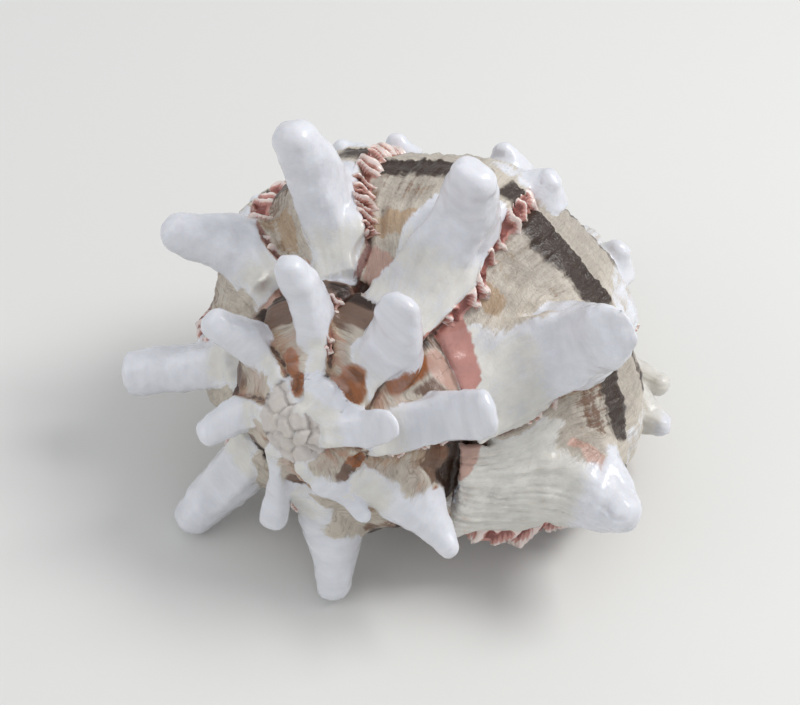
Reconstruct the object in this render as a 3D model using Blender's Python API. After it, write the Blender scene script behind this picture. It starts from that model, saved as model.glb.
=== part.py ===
"""Murex shell: a coiled whorl tube with thick varices, blunt shoulder horns, an aperture and a canal.

Metres, +Z up, resting aperture down; the apex points to the front left.
All shell formulas work in millimetres in the shell's own frame: apex at the origin, +Z to the apex.
"""
import math

import bmesh
import bpy
import numpy as np
from mathutils import Euler, Vector

for thing in list(bpy.data.objects):
    bpy.data.objects.remove(thing, do_unlink=True)

MM = 0.001

# Spiral of the whorls
LIP_RADIUS = 44.5          # axis to shoulder at the final lip
WHORL_RATIO = 2.1          # growth of the radius in one turn
SPIRE_HEIGHT = 0.886       # shoulder drop below the apex, in lip radii
SPIRE_STRETCH = 0.33       # how much the early whorls are flattened
START_ANGLE = -21.4        # direction of the last varix about the axis
WHORL_COUNT = 4.3

# Half section of a whorl, suture to canal: distance from the axis and drop, in whorl radii
OUTLINE = (
    (0.64, -0.37), (0.80, -0.22), (1.00, -0.03), (1.12, 0.12), (1.165, 0.32), (1.13, 0.57),
    (1.00, 0.83), (0.76, 1.07), (0.52, 1.26), (0.34, 1.42), (0.20, 1.52), (0.10, 1.57),
)
# Fullness of the periphery: degrees back from the last varix, factor
FULLNESS = (
    (-19, 0.85), (20, 0.87), (45, 0.92), (66, 0.99), (100, 1.02), (125, 1.04), (150, 1.06),
    (195, 1.05), (240, 1.02), (300, 1.0), (360, 1.0), (400, 1.08), (440, 1.13), (500, 1.22), (560, 1.13),
    (640, 1.0),
)
# How far the suture stands out from the older whorl: degrees back, shift in whorl radii
SUTURE_SHIFT = (
    (20, 0.08), (48, 0.0), (60, 0.0), (80, 0.02), (110, 0.07), (145, 0.18), (175, 0.18), (260, 0.0),
)

# Varices
LIP_EDGE = 21.0            # degrees from the last crest to the thin edge of the lip
CANAL_TURN = -19.0         # turn of the open canal
TRAIL = 26.0               # degrees over which a varix fades on the older side
VARIX_RISE = 0.100         # crest above the whorl, in whorl radii
SLANT_SUTURE = 13.0        # degrees by which the growth lines run ahead at the suture
SLANT_BASE = 6.0           # degrees by which they lag at the base
RING_STEP = 1.2            # degrees between the rings of the whorls

# One row for each varix: degrees back from the lip, horn length, lift toward the apex, sweep to the
# older side, tip radius, root spread, thickness to width, half width of its plate at the suture, and
# degrees from the crest to the leading edge at four levels from the suture to below the horn
VARICES = (
    (0, 14.8, 18, 4, 5.1, 2.0, 0.90, 8.5, (11, 11.5, 12.5, 14)),
    (39, 26.3, 32, 15, 5.4, 1.75, 0.66, 10.5, (11, 10, 9, 9)),
    (81, 24.2, 32, 5, 5.1, 1.45, 0.80, 7.0, (5, 9.5, 8.5, 8)),
    (123, 22.6, 26, -4, 5.1, 1.25, 0.90, 4.2, (6, 11, 10.5, 10)),
    (154, 19.6, 29, 25, 4.6, 1.6, 0.90, 5.5, (9, 7.5, 6, 11)),
    (200, 19.6, 22, 9, 4.5, 1.1, 0.85, 4.0, (11, 9.5, 8, 13)),
    (240, 20.8, 17, 10, 4.6, 1.3, 0.90, 4.0, (11, 9.5, 8, 13)),
    (287, 16.9, 2, 7, 3.6, 1.9, 0.90, 4.5, (11, 9.5, 8, 13)),
    (340, 14.2, 4, -3, 2.7, 2.8, 0.80, 4.5, (11, 9.5, 8, 13)),
    (386, 18.4, 11, 17, 4.8, 1.1, 0.34, 4.2, (10, 10, 10, 15)),
    (424, 18.6, 17, 25, 4.7, 1.55, 0.60, 2.3, (6, 0, -8, -4)),
    (472, 17.2, 18, 10, 3.6, 1.2, 0.90, 2.6, (8, 6.5, 5, 10)),
    (517, 14.2, 30, -3, 3.2, 1.4, 0.90, 2.6, (8, 6, 4, 9)),
    (564, 11.9, 23, 30, 3.0, 1.3, 0.90, 2.4, (8, 6.5, 5, 10)),
    (616, 13.5, -4, 28, 2.1, 0.95, 0.90, 1.6, (8, 6.5, 5, 10)),
    (667, 11.4, -20, 28, 1.8, 2.0, 0.50, 2.2, (8, 6.5, 5, 10)),
    (743, 12.6, 6, 25, 3.4, 1.3, 0.38, 2.6, (8, 6.5, 5, 10)),
    (780, 4.2, 10, 30, 1.5, 1.3, 0.90, 1.0, (8, 6.5, 5, 10)),
    (818, 3.2, 20, 20, 1.3, 1.3, 0.90, 0.9, (8, 6.5, 5, 10)),
)
LEAD_LEVELS = (-0.32, -0.17, 0.05, 0.40)    # levels of the four leads of a row
TIP_FLARE = {616: 1.50, 200: 1.12}     # horns that widen at the tip: varix turn, factor
TIP_CAP = {200: 0.25, 386: 0.35}       # worn flat tips: height of the cap in tip radii
TIP_CUTS = {39: (0.89, 1.3)}           # tips worn to a slant: share of the length, tilt to the apex
PLATE_STARTS = {424: 0.78, 472: 0.80, 517: 0.80, 564: 0.75}     # where short plates end, in whorl radii
HORN_BEND = 0.08           # curl of a horn toward the apex, in horn lengths
PLATE_REACH = 0.72         # how far up its horn a plate runs

# Lower spines: degrees back, level on the whorl, length, lift, sweep, radius
LOWER_SPINES = (
    (-2, 0.84, 9.0, 6, 8, 3.0), (0, 1.00, 10.0, 0, 20, 2.9), (1, 1.22, 6.0, -20, 20, 2.5),
    (47, 0.88, 6.0, 6, 34, 3.1), (44, 1.08, 5.5, -6, 25, 2.8), (42, 1.28, 4.5, -25, 20, 2.4),
    (75, 0.48, 5.0, 10, 0, 3.0), (89, 0.86, 6.5, 6, 25, 3.0), (85, 1.07, 5.0, -8, 20, 2.6),
    (84, 1.27, 4.0, -25, 20, 2.3),
    (129, 0.50, 3.0, 8, 10, 2.5), (121, 0.76, 4.0, 0, 0, 2.7), (126, 1.02, 4.0, -8, 15, 2.5),
    (126, 1.24, 3.5, -25, 15, 2.1),
    (158, 0.50, 3.5, 5, 5, 2.5), (162, 0.82, 4.0, -2, 15, 2.5), (163, 1.06, 4.0, -15, 15, 2.2),
    (202, 0.55, 3.5, 2, 10, 2.4), (203, 0.86, 4.0, -8, 15, 2.3), (203, 1.10, 3.5, -20, 15, 2.1),
    (243, 0.60, 3.5, 0, 10, 2.2), (244, 0.90, 3.5, -10, 15, 2.1),
)

# Canal: distance from the axis, drop, shift to the older side and radius along its middle line
CANAL = (
    (0.34, 1.02, 11.5, 11.5), (0.26, 1.20, 9.4, 9.5), (0.19, 1.36, 7.7, 7.8), (0.14, 1.50, 6.9, 6.6),
    (0.10, 1.62, 6.7, 5.8), (0.08, 1.71, 7.1, 5.2), (0.07, 1.77, 7.8, 4.2), (0.07, 1.80, 8.3, 2.6),
)
OLD_CANALS = ((39, 15.0, 4.2), (81, 13.0, 3.9), (123, 11.0, 3.4), (160, 9.0, 3.0))

# Aperture: section of the cavity at the lip, and its size along the turn
CAVITY_OUTLINE = (
    (0.63, -0.24), (0.79, -0.12), (0.90, 0.00), (0.965, 0.15), (0.985, 0.33), (0.955, 0.55),
    (0.86, 0.77), (0.69, 0.96), (0.50, 1.08), (0.36, 1.12), (0.27, 1.05), (0.24, 0.86),
    (0.235, 0.62), (0.25, 0.40), (0.32, 0.20), (0.43, 0.04), (0.53, -0.11),
)
CAVITY_CENTRE = (0.63, 0.42)
CAVITY_RUN = (
    (-27, 1.05), (-19, 1.02), (-12, 0.97), (-4, 0.92), (20, 0.86), (60, 0.74), (100, 0.52), (125, 0.20),
)
SLOT_PATH = (
    (0.44, 1.04, 0.6), (0.30, 1.22, 0.4), (0.20, 1.40, 0.4), (0.12, 1.60, 1.2), (0.06, 1.75, 3.4),
    (0.03, 1.90, 6.0),
)
SLOT_RADIUS = 1.8

# Worn tip of the spire
APEX_CENTRE = -6.6
APEX_RADIUS = 5.8
APEX_LUMPS = 9

# Surface resolution
VOXEL = 0.8
TRIANGLES = 9800

# Rest pose: rotations that lay the shell on its aperture, about X, Y and Z
REST_ANGLES = (67.47, -17.07, -19.63)


def smoothstep(value, low, high):
    share = np.clip((np.asarray(value, float) - low) / (high - low), 0.0, 1.0)
    return share * share * (3.0 - 2.0 * share)


def rounded(points, steps):
    """Catmull-Rom curve through the given points."""
    known = np.array(points, float)
    known = np.vstack([2 * known[0] - known[1], known, 2 * known[-1] - known[-2]])
    out = []
    for i in range(1, len(known) - 2):
        a, b, c, d = known[i - 1:i + 3]
        for s in np.linspace(0.0, 1.0, steps, endpoint=False):
            out.append(0.5 * (2 * b + (c - a) * s + (2 * a - 5 * b + 4 * c - d) * s ** 2
                              + (3 * b - a - 3 * c + d) * s ** 3))
    out.append(known[-2])
    return np.array(out)


def read_off(table, turn):
    """Value at a turn of a table of turns and values."""
    turns, values = zip(*table)
    return np.interp(turn, turns, values)


def whorl_radius(turn):
    return LIP_RADIUS * WHORL_RATIO ** (-np.asarray(turn, float) / 360.0)


def whorl_drop(turn):
    radius = whorl_radius(turn)
    return SPIRE_HEIGHT * radius * (radius / LIP_RADIUS) ** SPIRE_STRETCH


def slant(level):
    """Degrees between a growth line at a level and the same line at the shoulder."""
    level = np.asarray(level, float)
    return SLANT_BASE * smoothstep(level, 0.2, 1.2) - SLANT_SUTURE * (1.0 - smoothstep(level, -0.42, 0.0))


def place(turn, rho, level):
    """Shell-frame points at a turn, a distance from the axis and a drop, both in whorl radii."""
    radius = whorl_radius(turn)
    angle = np.radians(START_ANGLE + np.asarray(turn, float))
    rho = np.asarray(rho, float)
    return np.stack([radius * rho * np.cos(angle), radius * rho * np.sin(angle),
                     -(whorl_drop(turn) + radius * np.asarray(level, float)) + 0 * angle * rho], -1)


def frame_at(turn):
    """Radial, older-side and apex directions at a turn."""
    angle = math.radians(START_ANGLE + turn)
    radial = np.array([math.cos(angle), math.sin(angle), 0.0])
    older = np.array([-math.sin(angle), math.cos(angle), 0.0])
    return radial, older, np.array([0.0, 0.0, 1.0])


def new_mesh(name, points, faces):
    mesh = bpy.data.meshes.new(name)
    mesh.from_pydata([tuple(p) for p in points], [], [tuple(f) for f in faces])
    mesh.update()
    shape = bpy.data.objects.new(name, mesh)
    bpy.context.scene.collection.objects.link(shape)
    edit = bmesh.new()
    edit.from_mesh(mesh)
    bmesh.ops.recalc_face_normals(edit, faces=edit.faces[:])
    edit.to_mesh(mesh)
    edit.free()
    return shape


def loft(name, rings):
    """Closed rings joined in order, with both ends capped."""
    count = len(rings[0])
    last = (len(rings) - 1) * count
    faces = [tuple(range(count)), tuple(range(last, last + count))[::-1]]
    for k in range(len(rings) - 1):
        for j in range(count):
            a = k * count + j
            b = k * count + (j + 1) % count
            faces.append((a, b, b + count, a + count))
    return new_mesh(name, np.concatenate(rings), faces)


def lead_of(varix, level):
    """Degrees from the crest of a varix to its leading edge, at a level."""
    return np.interp(level, LEAD_LEVELS, varix[8])


def varix_rise(turn, level):
    """Rise of the varices above the whorl, in whorl radii."""
    best = np.zeros_like(level)
    for varix in VARICES:
        past_crest = turn - varix[0]
        if -25.0 < past_crest < TRAIL:
            past_edge = past_crest + lead_of(varix, level)
            edge = 0.80 * smoothstep(past_edge, -0.6, 0.6) + 0.20 * smoothstep(past_edge, 0.0, 6.0)
            best = np.maximum(best, edge * (1.0 - smoothstep(past_crest, -1, TRAIL)))
    share = 0.55 + 0.45 * smoothstep(level, -0.37, -0.02)
    share = share * (1.0 - 0.32 * smoothstep(level, 0.08, 0.35)) * (1.0 - 0.30 * smoothstep(level, 0.5, 1.1))
    share = share * (1.0 - smoothstep(level, 1.3, 1.8))
    return VARIX_RISE * best * share


def outline_normals(outline):
    ahead = np.gradient(outline, axis=0)
    normal = np.stack([ahead[:, 1], -ahead[:, 0]], 1)
    return normal / np.linalg.norm(normal, axis=1)[:, None]


def whorl_ring(turn, outline, normals):
    level = outline[:, 1]
    rise = varix_rise(turn, level)
    shift = float(read_off(SUTURE_SHIFT, turn))
    out = shift * (1.0 - smoothstep(level, -0.37, -0.03))
    full = 1.0 + (read_off(FULLNESS, turn) - 1.0) * smoothstep(level, -0.3, 0.15)
    rho = (outline[:, 0] + out) * full + normals[:, 0] * rise
    level = level + out * 0.94 + normals[:, 1] * rise
    ring = place(turn + slant(level), rho, level)
    ends = np.array([outline[-1, 1], -0.45 + 1.6 * shift])
    core = place(turn + slant(ends), np.zeros(2), ends)
    return np.vstack([ring, core])


def whorls():
    outline = rounded(OUTLINE, 4)
    normals = outline_normals(outline)
    turns = np.arange(-LIP_EDGE, WHORL_COUNT * 360.0, RING_STEP)
    return loft("whorls", [whorl_ring(t, outline, normals) for t in turns])


def point_on_whorl(turn, level):
    """Point on the whorl surface, without the varices."""
    outline = rounded(OUTLINE, 12)
    rho = float(np.interp(level, outline[:, 1], outline[:, 0]))
    full = 1.0 + (read_off(FULLNESS, turn) - 1.0) * float(smoothstep(level, -0.3, 0.15))
    return place(turn, rho * full, level)


def boxy_circle(sides, squareness):
    """Cosines and sines of a circle pressed toward a square."""
    around = np.linspace(0.0, 2 * math.pi, sides, endpoint=False)
    across, along = np.cos(around), np.sin(around)
    return np.sign(across) * np.abs(across) ** squareness, np.sign(along) * np.abs(along) ** squareness


def horn(name, foot, axes, length, tip, spread, flat, flare=1.0, cap=0.75, cut=None, sides=18, steps=9):
    """Blunt tapered horn; axes are its out, side and up directions."""
    out, side, up = axes
    across, along = boxy_circle(sides, 0.85)
    shaft = length - cap * tip
    rings = []
    for s in np.linspace(-0.4, 1.0, steps + 4):
        reach = max(s, 0.0)
        centre = foot + out * shaft * s + up * HORN_BEND * length * reach ** 2
        width = tip * (1.0 + (spread - 1.0) * (1.0 - reach) ** 1.5)
        width *= 1.0 + (flare - 1.0) * float(smoothstep(reach, 0.55, 1.0))
        width *= 1.0 - 0.12 * float(smoothstep(reach, 0.75, 1.0))
        rings.append(centre + np.outer(across * width, side) + np.outer(along * width * flat, up))
    middle = rings[-1].mean(0)
    heading = out + up * 2 * HORN_BEND
    heading = heading / np.linalg.norm(heading)
    for angle in (25, 50, 75):
        turned = math.radians(angle)
        rings.append(middle + (rings[steps + 3] - middle) * math.cos(turned)
                     + heading * tip * cap * math.sin(turned))
    if cut:
        spot = foot + out * length * cut[0]
        facing = out + up * cut[1]
        rings = [ring - np.outer(np.maximum((ring - spot) @ facing, 0.0), out) for ring in rings]
    return loft(name, rings)


def horn_axes(turn, lift, sweep):
    radial, older, axis = frame_at(turn)
    a, b = math.radians(lift), math.radians(sweep)
    out = math.cos(a) * math.cos(b) * radial + math.sin(a) * axis + math.cos(a) * math.sin(b) * older
    side = np.cross(axis, out)
    side = side / np.linalg.norm(side)
    return out, side, np.cross(out, side)


def plate(varix, foot, axes):
    """Broad plate of a varix, from the suture up onto the apex side of its horn."""
    turn, length, lift, sweep, tip, spread, flat, half = varix[:8]
    out, side, up = axes
    scale = float(whorl_radius(turn)) / LIP_RADIUS
    rho = PLATE_STARTS.get(turn, 0.66) + float(read_off(SUTURE_SHIFT, turn))
    level = -0.36 + 0.94 * (rho - 0.66)
    ahead = math.degrees(half / (0.70 * float(whorl_radius(turn))))
    start = turn - float(lead_of(varix, level)) + ahead + float(slant(level))
    start = place(start, rho, level)
    bend = foot + up * tip * flat * 0.7
    end = foot + out * length * PLATE_REACH + up * tip * flat * 0.25
    across, along = boxy_circle(18, 0.7)
    rings = []
    for s in np.linspace(-0.12 if turn < 270 else -0.06, 1.0, 12):
        centre = (1 - s) ** 2 * start + 2 * s * (1 - s) * bend + s * s * end
        heading = 2 * (1 - s) * (bend - start) + 2 * s * (end - bend)
        heading = heading / np.linalg.norm(heading)
        flank = side - heading * (side @ heading)
        flank = flank / np.linalg.norm(flank)
        normal = np.cross(heading, flank)
        width = half + (tip * 0.95 - half) * s
        thick = 1.5 * scale + (tip * flat * 0.72 - 1.5 * scale) * float(smoothstep(s, 0.0, 0.8))
        rings.append(centre + np.outer(across * width, flank) + np.outer(along * thick, normal))
    return loft(f"plate_{turn}", rings)


def shoulder_horns():
    made = []
    for varix in VARICES:
        turn, length, lift, sweep, tip, spread, flat = varix[:7]
        axes = horn_axes(turn, lift, sweep)
        foot = place(turn, 1.0, 0.0)
        ends = TIP_FLARE.get(turn, 1.0), TIP_CAP.get(turn, 0.75), TIP_CUTS.get(turn)
        made.append(horn(f"horn_{turn}", foot, axes, length, tip, spread, flat, *ends))
        made.append(plate(varix, foot, axes))
    return made


def tube(name, path, radii, sides=14):
    """Round tube along a path with a radius at each point."""
    path = np.array(path, float)
    around = np.linspace(0.0, 2 * math.pi, sides, endpoint=False)
    ahead = np.gradient(path, axis=0)
    rings = []
    side = None
    for point, heading, radius in zip(path, ahead, radii):
        heading = heading / np.linalg.norm(heading)
        if side is None:
            side = np.cross(heading, (0.3, 0.2, 0.93))
        side = side - heading * (side @ heading)
        side = side / np.linalg.norm(side)
        up = np.cross(heading, side)
        rings.append(point + radius * (np.outer(np.cos(around), side) + np.outer(np.sin(around), up)))
    return loft(name, rings)


def lower_spines():
    made = []
    for k, (turn, level, length, lift, sweep, radius) in enumerate(LOWER_SPINES):
        axes = horn_axes(turn, lift, sweep)
        foot = point_on_whorl(turn, level)
        foot = foot + axes[0] * 0.6 * VARIX_RISE * float(whorl_radius(turn))
        made.append(horn(f"spine_{k}", foot, axes, length, radius, 1.8, 0.8, sides=12, steps=5))
    return made


def canals():
    """The open canal at the lip and the worn ends of the earlier ones."""
    older = frame_at(CANAL_TURN)[1]
    path, radii = [], []
    for rho, level, shift, radius in rounded(CANAL, 3):
        path.append(place(CANAL_TURN + float(slant(level)), rho, level) + older * shift)
        radii.append(radius)
    made = [tube("canal", path, radii, 18)]
    for turn, length, radius in OLD_CANALS:
        radial, older, axis = frame_at(turn + 6)
        start = place(turn + 6, 0.16, 1.15)
        heading = 0.62 * radial - 0.78 * axis + 0.12 * older
        path = [start + heading * length * s + radial * 1.5 * s * s for s in np.linspace(-0.3, 1.0, 7)]
        radii = [radius * (1.5 - 0.55 * s) for s in np.linspace(0.0, 1.0, 7)]
        made.append(tube(f"canal_{turn}", path, radii))
    return made


def apex_lumps():
    """Knobbly worn tip: one rounded mass and lumps spread evenly over its top."""
    made = []
    golden = math.pi * (3.0 - math.sqrt(5.0))
    for k in range(APEX_LUMPS + 1):
        if k:
            tilt = math.radians(20 + 60 * k / APEX_LUMPS)
            centre = np.array([math.sin(tilt) * math.cos(k * golden),
                               math.sin(tilt) * math.sin(k * golden), math.cos(tilt)])
            centre = centre * APEX_RADIUS * 0.78
            radius = APEX_RADIUS * (0.30 + 0.10 * math.cos(2.1 * k))
        else:
            centre = np.zeros(3)
            radius = APEX_RADIUS
        path = [centre + (0, 0, APEX_CENTRE + radius * z) for z in np.cos(np.linspace(3.0, 0.14, 7))]
        radii = [radius * math.sin(a) for a in np.linspace(3.0, 0.14, 7)]
        made.append(tube(f"lump_{k}", path, radii))
    return made


def cavity():
    """Cutter for the hollow of the last whorl."""
    outline = rounded(CAVITY_OUTLINE + CAVITY_OUTLINE[:1], 2)[:-1]
    centre = np.array(CAVITY_CENTRE)
    rings = []
    for turn in np.arange(CAVITY_RUN[0][0], CAVITY_RUN[-1][0] + 0.1, 7.0):
        shape = centre + (outline - centre) * float(read_off(CAVITY_RUN, turn))
        rings.append(place(turn + slant(shape[:, 1]), shape[:, 0], shape[:, 1]))
    return loft("cavity", rings)


def canal_slot():
    """Cutter for the open groove along the canal."""
    older = frame_at(CANAL_TURN)[1]
    path = []
    for rho, level, shift in rounded(SLOT_PATH, 3):
        path.append(place(CANAL_TURN + float(slant(level)), rho, level) + older * shift)
    return tube("canal_slot", path, [SLOT_RADIUS] * len(path), 10)


def joined(name, shapes):
    bpy.ops.object.select_all(action="DESELECT")
    for shape in shapes:
        shape.select_set(True)
    bpy.context.view_layer.objects.active = shapes[0]
    bpy.ops.object.join()
    shape = bpy.context.view_layer.objects.active
    shape.name = name
    shape.data.name = name
    return shape


def applied(shape):
    """Replace the mesh of an object by the result of its modifiers."""
    graph = bpy.context.evaluated_depsgraph_get()
    mesh = bpy.data.meshes.new_from_object(shape.evaluated_get(graph))
    shape.modifiers.clear()
    shape.data = mesh
    mesh.name = shape.name


def shell_material():
    material = bpy.data.materials.new("shell")
    material.use_nodes = True
    surface = material.node_tree.nodes["Principled BSDF"]
    surface.inputs["Base Color"].default_value = (0.72, 0.68, 0.64, 1.0)
    surface.inputs["Roughness"].default_value = 0.38
    surface.inputs["Metallic"].default_value = 0.0
    return material


def triangle_count(mesh):
    return sum(len(face.vertices) - 2 for face in mesh.polygons)


def keep_largest(mesh):
    """Keep the outer skin; slivers and pockets that the cuts leave are dropped."""
    edit = bmesh.new()
    edit.from_mesh(mesh)
    left = set(edit.verts)
    islands = []
    while left:
        front = [left.pop()]
        island = list(front)
        while front:
            vert = front.pop()
            near = {edge.other_vert(vert) for edge in vert.link_edges} & left
            left -= near
            front.extend(near)
            island.extend(near)
        islands.append(island)
    islands.sort(key=len)
    for island in islands[:-1]:
        bmesh.ops.delete(edit, geom=island, context="VERTS")
    edit.to_mesh(mesh)
    edit.free()


def laid_down(mesh):
    """Turn the shell to its rest pose, in metres, with the base centre at the origin."""
    turn = np.array(Euler([math.radians(a) for a in REST_ANGLES]).to_matrix())
    points = np.array([vert.co for vert in mesh.vertices]) @ turn.T * MM
    low = points.min(0)
    high = points.max(0)
    points -= np.array([(low[0] + high[0]) / 2, (low[1] + high[1]) / 2, low[2]])
    for vert, point in zip(mesh.vertices, points):
        vert.co = point
    mesh.update()


def fused(shape, rounds):
    """Fuse overlapping closed meshes into one even skin and soften it."""
    fuse = shape.modifiers.new("fuse", "REMESH")
    fuse.mode = "VOXEL"
    fuse.voxel_size = VOXEL
    soften = shape.modifiers.new("soften", "SMOOTH")
    soften.factor = 0.5
    soften.iterations = rounds
    applied(shape)


def build():
    solids = [whorls()] + shoulder_horns() + lower_spines() + canals() + apex_lumps()
    shell = joined("shell", solids)
    fused(shell, 1)
    for cutter in (cavity(), canal_slot()):
        cutter.hide_render = True
        cutter.display_type = "WIRE"
        cut = shell.modifiers.new(cutter.name, "BOOLEAN")
        cut.operation = "DIFFERENCE"
        cut.solver = "EXACT"
        cut.object = cutter
    applied(shell)
    fused(shell, 2)
    keep_largest(shell.data)
    thin = shell.modifiers.new("thin", "DECIMATE")
    thin.ratio = TRIANGLES / triangle_count(shell.data)
    applied(shell)
    laid_down(shell.data)
    shell.data.materials.clear()
    shell.data.materials.append(shell_material())
    return shell


shell = build()
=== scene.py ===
"""Finished look of a murex shell: glazed varices, toothed frills and stained whorls on a plain stage.

Shell shapes are worked out in millimetres in the shell's own frame, with the apex at the origin and
+Z toward the apex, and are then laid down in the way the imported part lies.
"""
import math
from collections import namedtuple

import bmesh
import bpy
import numpy as np
from bpy.props import FloatProperty, FloatVectorProperty, IntProperty, PointerProperty
from mathutils import Euler, Matrix, Vector, noise
from mathutils.kdtree import KDTree


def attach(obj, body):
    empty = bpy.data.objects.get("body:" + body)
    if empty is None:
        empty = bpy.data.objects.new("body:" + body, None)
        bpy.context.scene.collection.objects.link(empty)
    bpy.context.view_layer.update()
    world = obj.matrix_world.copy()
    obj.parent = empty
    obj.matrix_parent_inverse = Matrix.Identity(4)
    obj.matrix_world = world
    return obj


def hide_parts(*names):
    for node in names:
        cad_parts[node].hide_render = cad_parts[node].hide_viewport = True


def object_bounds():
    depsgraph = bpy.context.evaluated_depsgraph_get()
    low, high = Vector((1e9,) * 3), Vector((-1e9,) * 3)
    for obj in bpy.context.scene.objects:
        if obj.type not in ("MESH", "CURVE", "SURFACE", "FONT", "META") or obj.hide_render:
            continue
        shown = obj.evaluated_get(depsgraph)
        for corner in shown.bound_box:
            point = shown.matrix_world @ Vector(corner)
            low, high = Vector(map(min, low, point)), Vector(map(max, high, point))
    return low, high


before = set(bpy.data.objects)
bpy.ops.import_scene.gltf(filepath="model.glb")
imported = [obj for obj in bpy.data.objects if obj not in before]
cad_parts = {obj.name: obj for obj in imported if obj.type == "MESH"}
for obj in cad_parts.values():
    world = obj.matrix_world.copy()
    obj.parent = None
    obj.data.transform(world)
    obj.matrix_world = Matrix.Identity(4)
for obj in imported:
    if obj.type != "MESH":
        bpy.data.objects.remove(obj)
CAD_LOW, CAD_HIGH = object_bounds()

bl_info = {
    "name": "Murex Shell",
    "version": (1, 0, 0),
    "blender": (4, 5, 0),
    "location": "View3D > Sidebar > Murex",
    "description": "Grows a murex shell around its packed model and sets a plain stage for it",
    "category": "Object",
}

MM = 0.001

# Spiral of the whorls
LIP_RADIUS = 44.5          # axis to shoulder at the final lip
WHORL_RATIO = 2.1          # growth of the radius in one turn
SPIRE_HEIGHT = 0.886       # shoulder drop below the apex, in lip radii
SPIRE_STRETCH = 0.33       # how much the early whorls are flattened
START_ANGLE = -21.4        # direction of the last varix about the axis
WHORL_COUNT = 4.3

# Half section of a whorl, suture to canal: distance from the axis and drop, in whorl radii
OUTLINE = (
    (0.64, -0.37), (0.80, -0.22), (1.00, -0.03), (1.12, 0.12), (1.165, 0.32), (1.13, 0.57),
    (1.00, 0.83), (0.76, 1.07), (0.52, 1.26), (0.34, 1.42), (0.20, 1.52), (0.10, 1.57),
)
# Fullness of the periphery: degrees back from the last varix, factor
FULLNESS = (
    (-19, 0.85), (20, 0.87), (45, 0.92), (66, 0.99), (100, 1.02), (125, 1.04), (150, 1.06),
    (195, 1.05), (240, 1.02), (300, 1.0), (360, 1.0), (400, 1.08), (440, 1.13), (500, 1.22), (560, 1.13),
    (640, 1.0),
)
# How far the suture stands out over the older whorl: degrees back, shift in whorl radii
SUTURE_SHIFT = (
    (-20, 0.06), (20, 0.08), (48, 0.0), (60, 0.0), (80, 0.02), (110, 0.07), (145, 0.18), (175, 0.18),
    (260, 0.0),
)

# Varices
LIP_EDGE = 21.0            # degrees from the last crest to the thin edge of the lip
LIP_EDGES = (24.5, 22.0, 21.0, 21.0)    # the same at the four levels of the leads below
CANAL_TURN = -19.0         # turn of the open canal
TRAIL = 26.0               # degrees over which a varix fades on the older side
AHEAD = 31.0               # degrees ahead of its crest that a varix can reach
VARIX_RISE = 0.100         # crest above the whorl, in whorl radii
SLANT_SUTURE = 13.0        # degrees by which the growth lines run ahead at the suture
SLANT_BASE = 6.0           # degrees by which they lag at the base

# One row for each varix: degrees back from the lip, horn length, lift toward the apex, sweep to the
# older side, tip radius, root spread, thickness to width, half width of its plate at the suture, and
# degrees from the crest to the leading edge at four levels from the suture to below the horn
Varix = namedtuple("Varix", "turn length lift sweep tip spread flat plate leads")
VARICES = tuple(Varix(*row) for row in (
    (0, 14.8, 18, 4, 5.1, 2.0, 0.90, 9.5, (14.0, 12.0, 12.5, 14)),
    (39, 26.3, 32, 15, 5.4, 1.75, 0.66, 10.5, (11, 10, 9, 9)),
    (81, 24.2, 32, 2.5, 5.1, 1.38, 0.80, 7.0, (5, 9.5, 6.5, 4)),
    (123, 22.6, 26, -5.5, 5.0, 1.25, 0.90, 4.2, (6, 12, 8.5, 5)),
    (154, 19.6, 29, 25, 4.6, 1.6, 0.90, 5.5, (9, 5.8, 3.8, 8)),
    (200, 19.6, 22, 9, 4.5, 1.1, 0.85, 4.0, (11, 9.5, 8, 13)),
    (240, 20.8, 17, 10, 4.6, 1.3, 0.90, 4.0, (11, 9.5, 8, 13)),
    (287, 16.9, 2, 7, 3.6, 1.9, 0.90, 4.5, (11, 9.5, 8, 13)),
    (340, 14.2, 4, -3, 2.7, 2.8, 0.80, 4.5, (11, 9.5, 8, 13)),
    (386, 18.4, 11, 17, 4.8, 1.1, 0.34, 4.2, (10, 10, 10, 15)),
    (424, 18.6, 17, 25, 4.7, 1.35, 0.60, 3.6, (6, 0, -8, -4)),
    (472, 17.2, 18, 10, 3.6, 1.2, 0.90, 2.6, (8, 6.5, 5, 10)),
    (517, 14.2, 30, -3, 3.2, 1.4, 0.90, 2.6, (8, 6, 4, 9)),
    (564, 11.9, 23, 30, 3.0, 1.3, 0.90, 2.4, (8, 6.5, 5, 10)),
    (616, 13.5, -4, 28, 2.1, 0.95, 0.90, 1.6, (8, 6.5, 5, 10)),
    (667, 11.4, -20, 28, 1.8, 2.0, 0.50, 2.2, (8, 6.5, 5, 10)),
    (743, 12.6, 6, 25, 3.4, 1.3, 0.38, 2.6, (8, 6.5, 5, 10)),
    (803, 3.6, 5, 5, 2.3, 1.4, 0.60, 1.6, (8, 6.5, 5, 10)),
    (818, 3.2, 20, 20, 1.3, 1.3, 0.90, 0.9, (8, 6.5, 5, 10)),
))
LEAD_LEVELS = (-0.32, -0.17, 0.05, 0.40)    # levels of the four leads of a row
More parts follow.
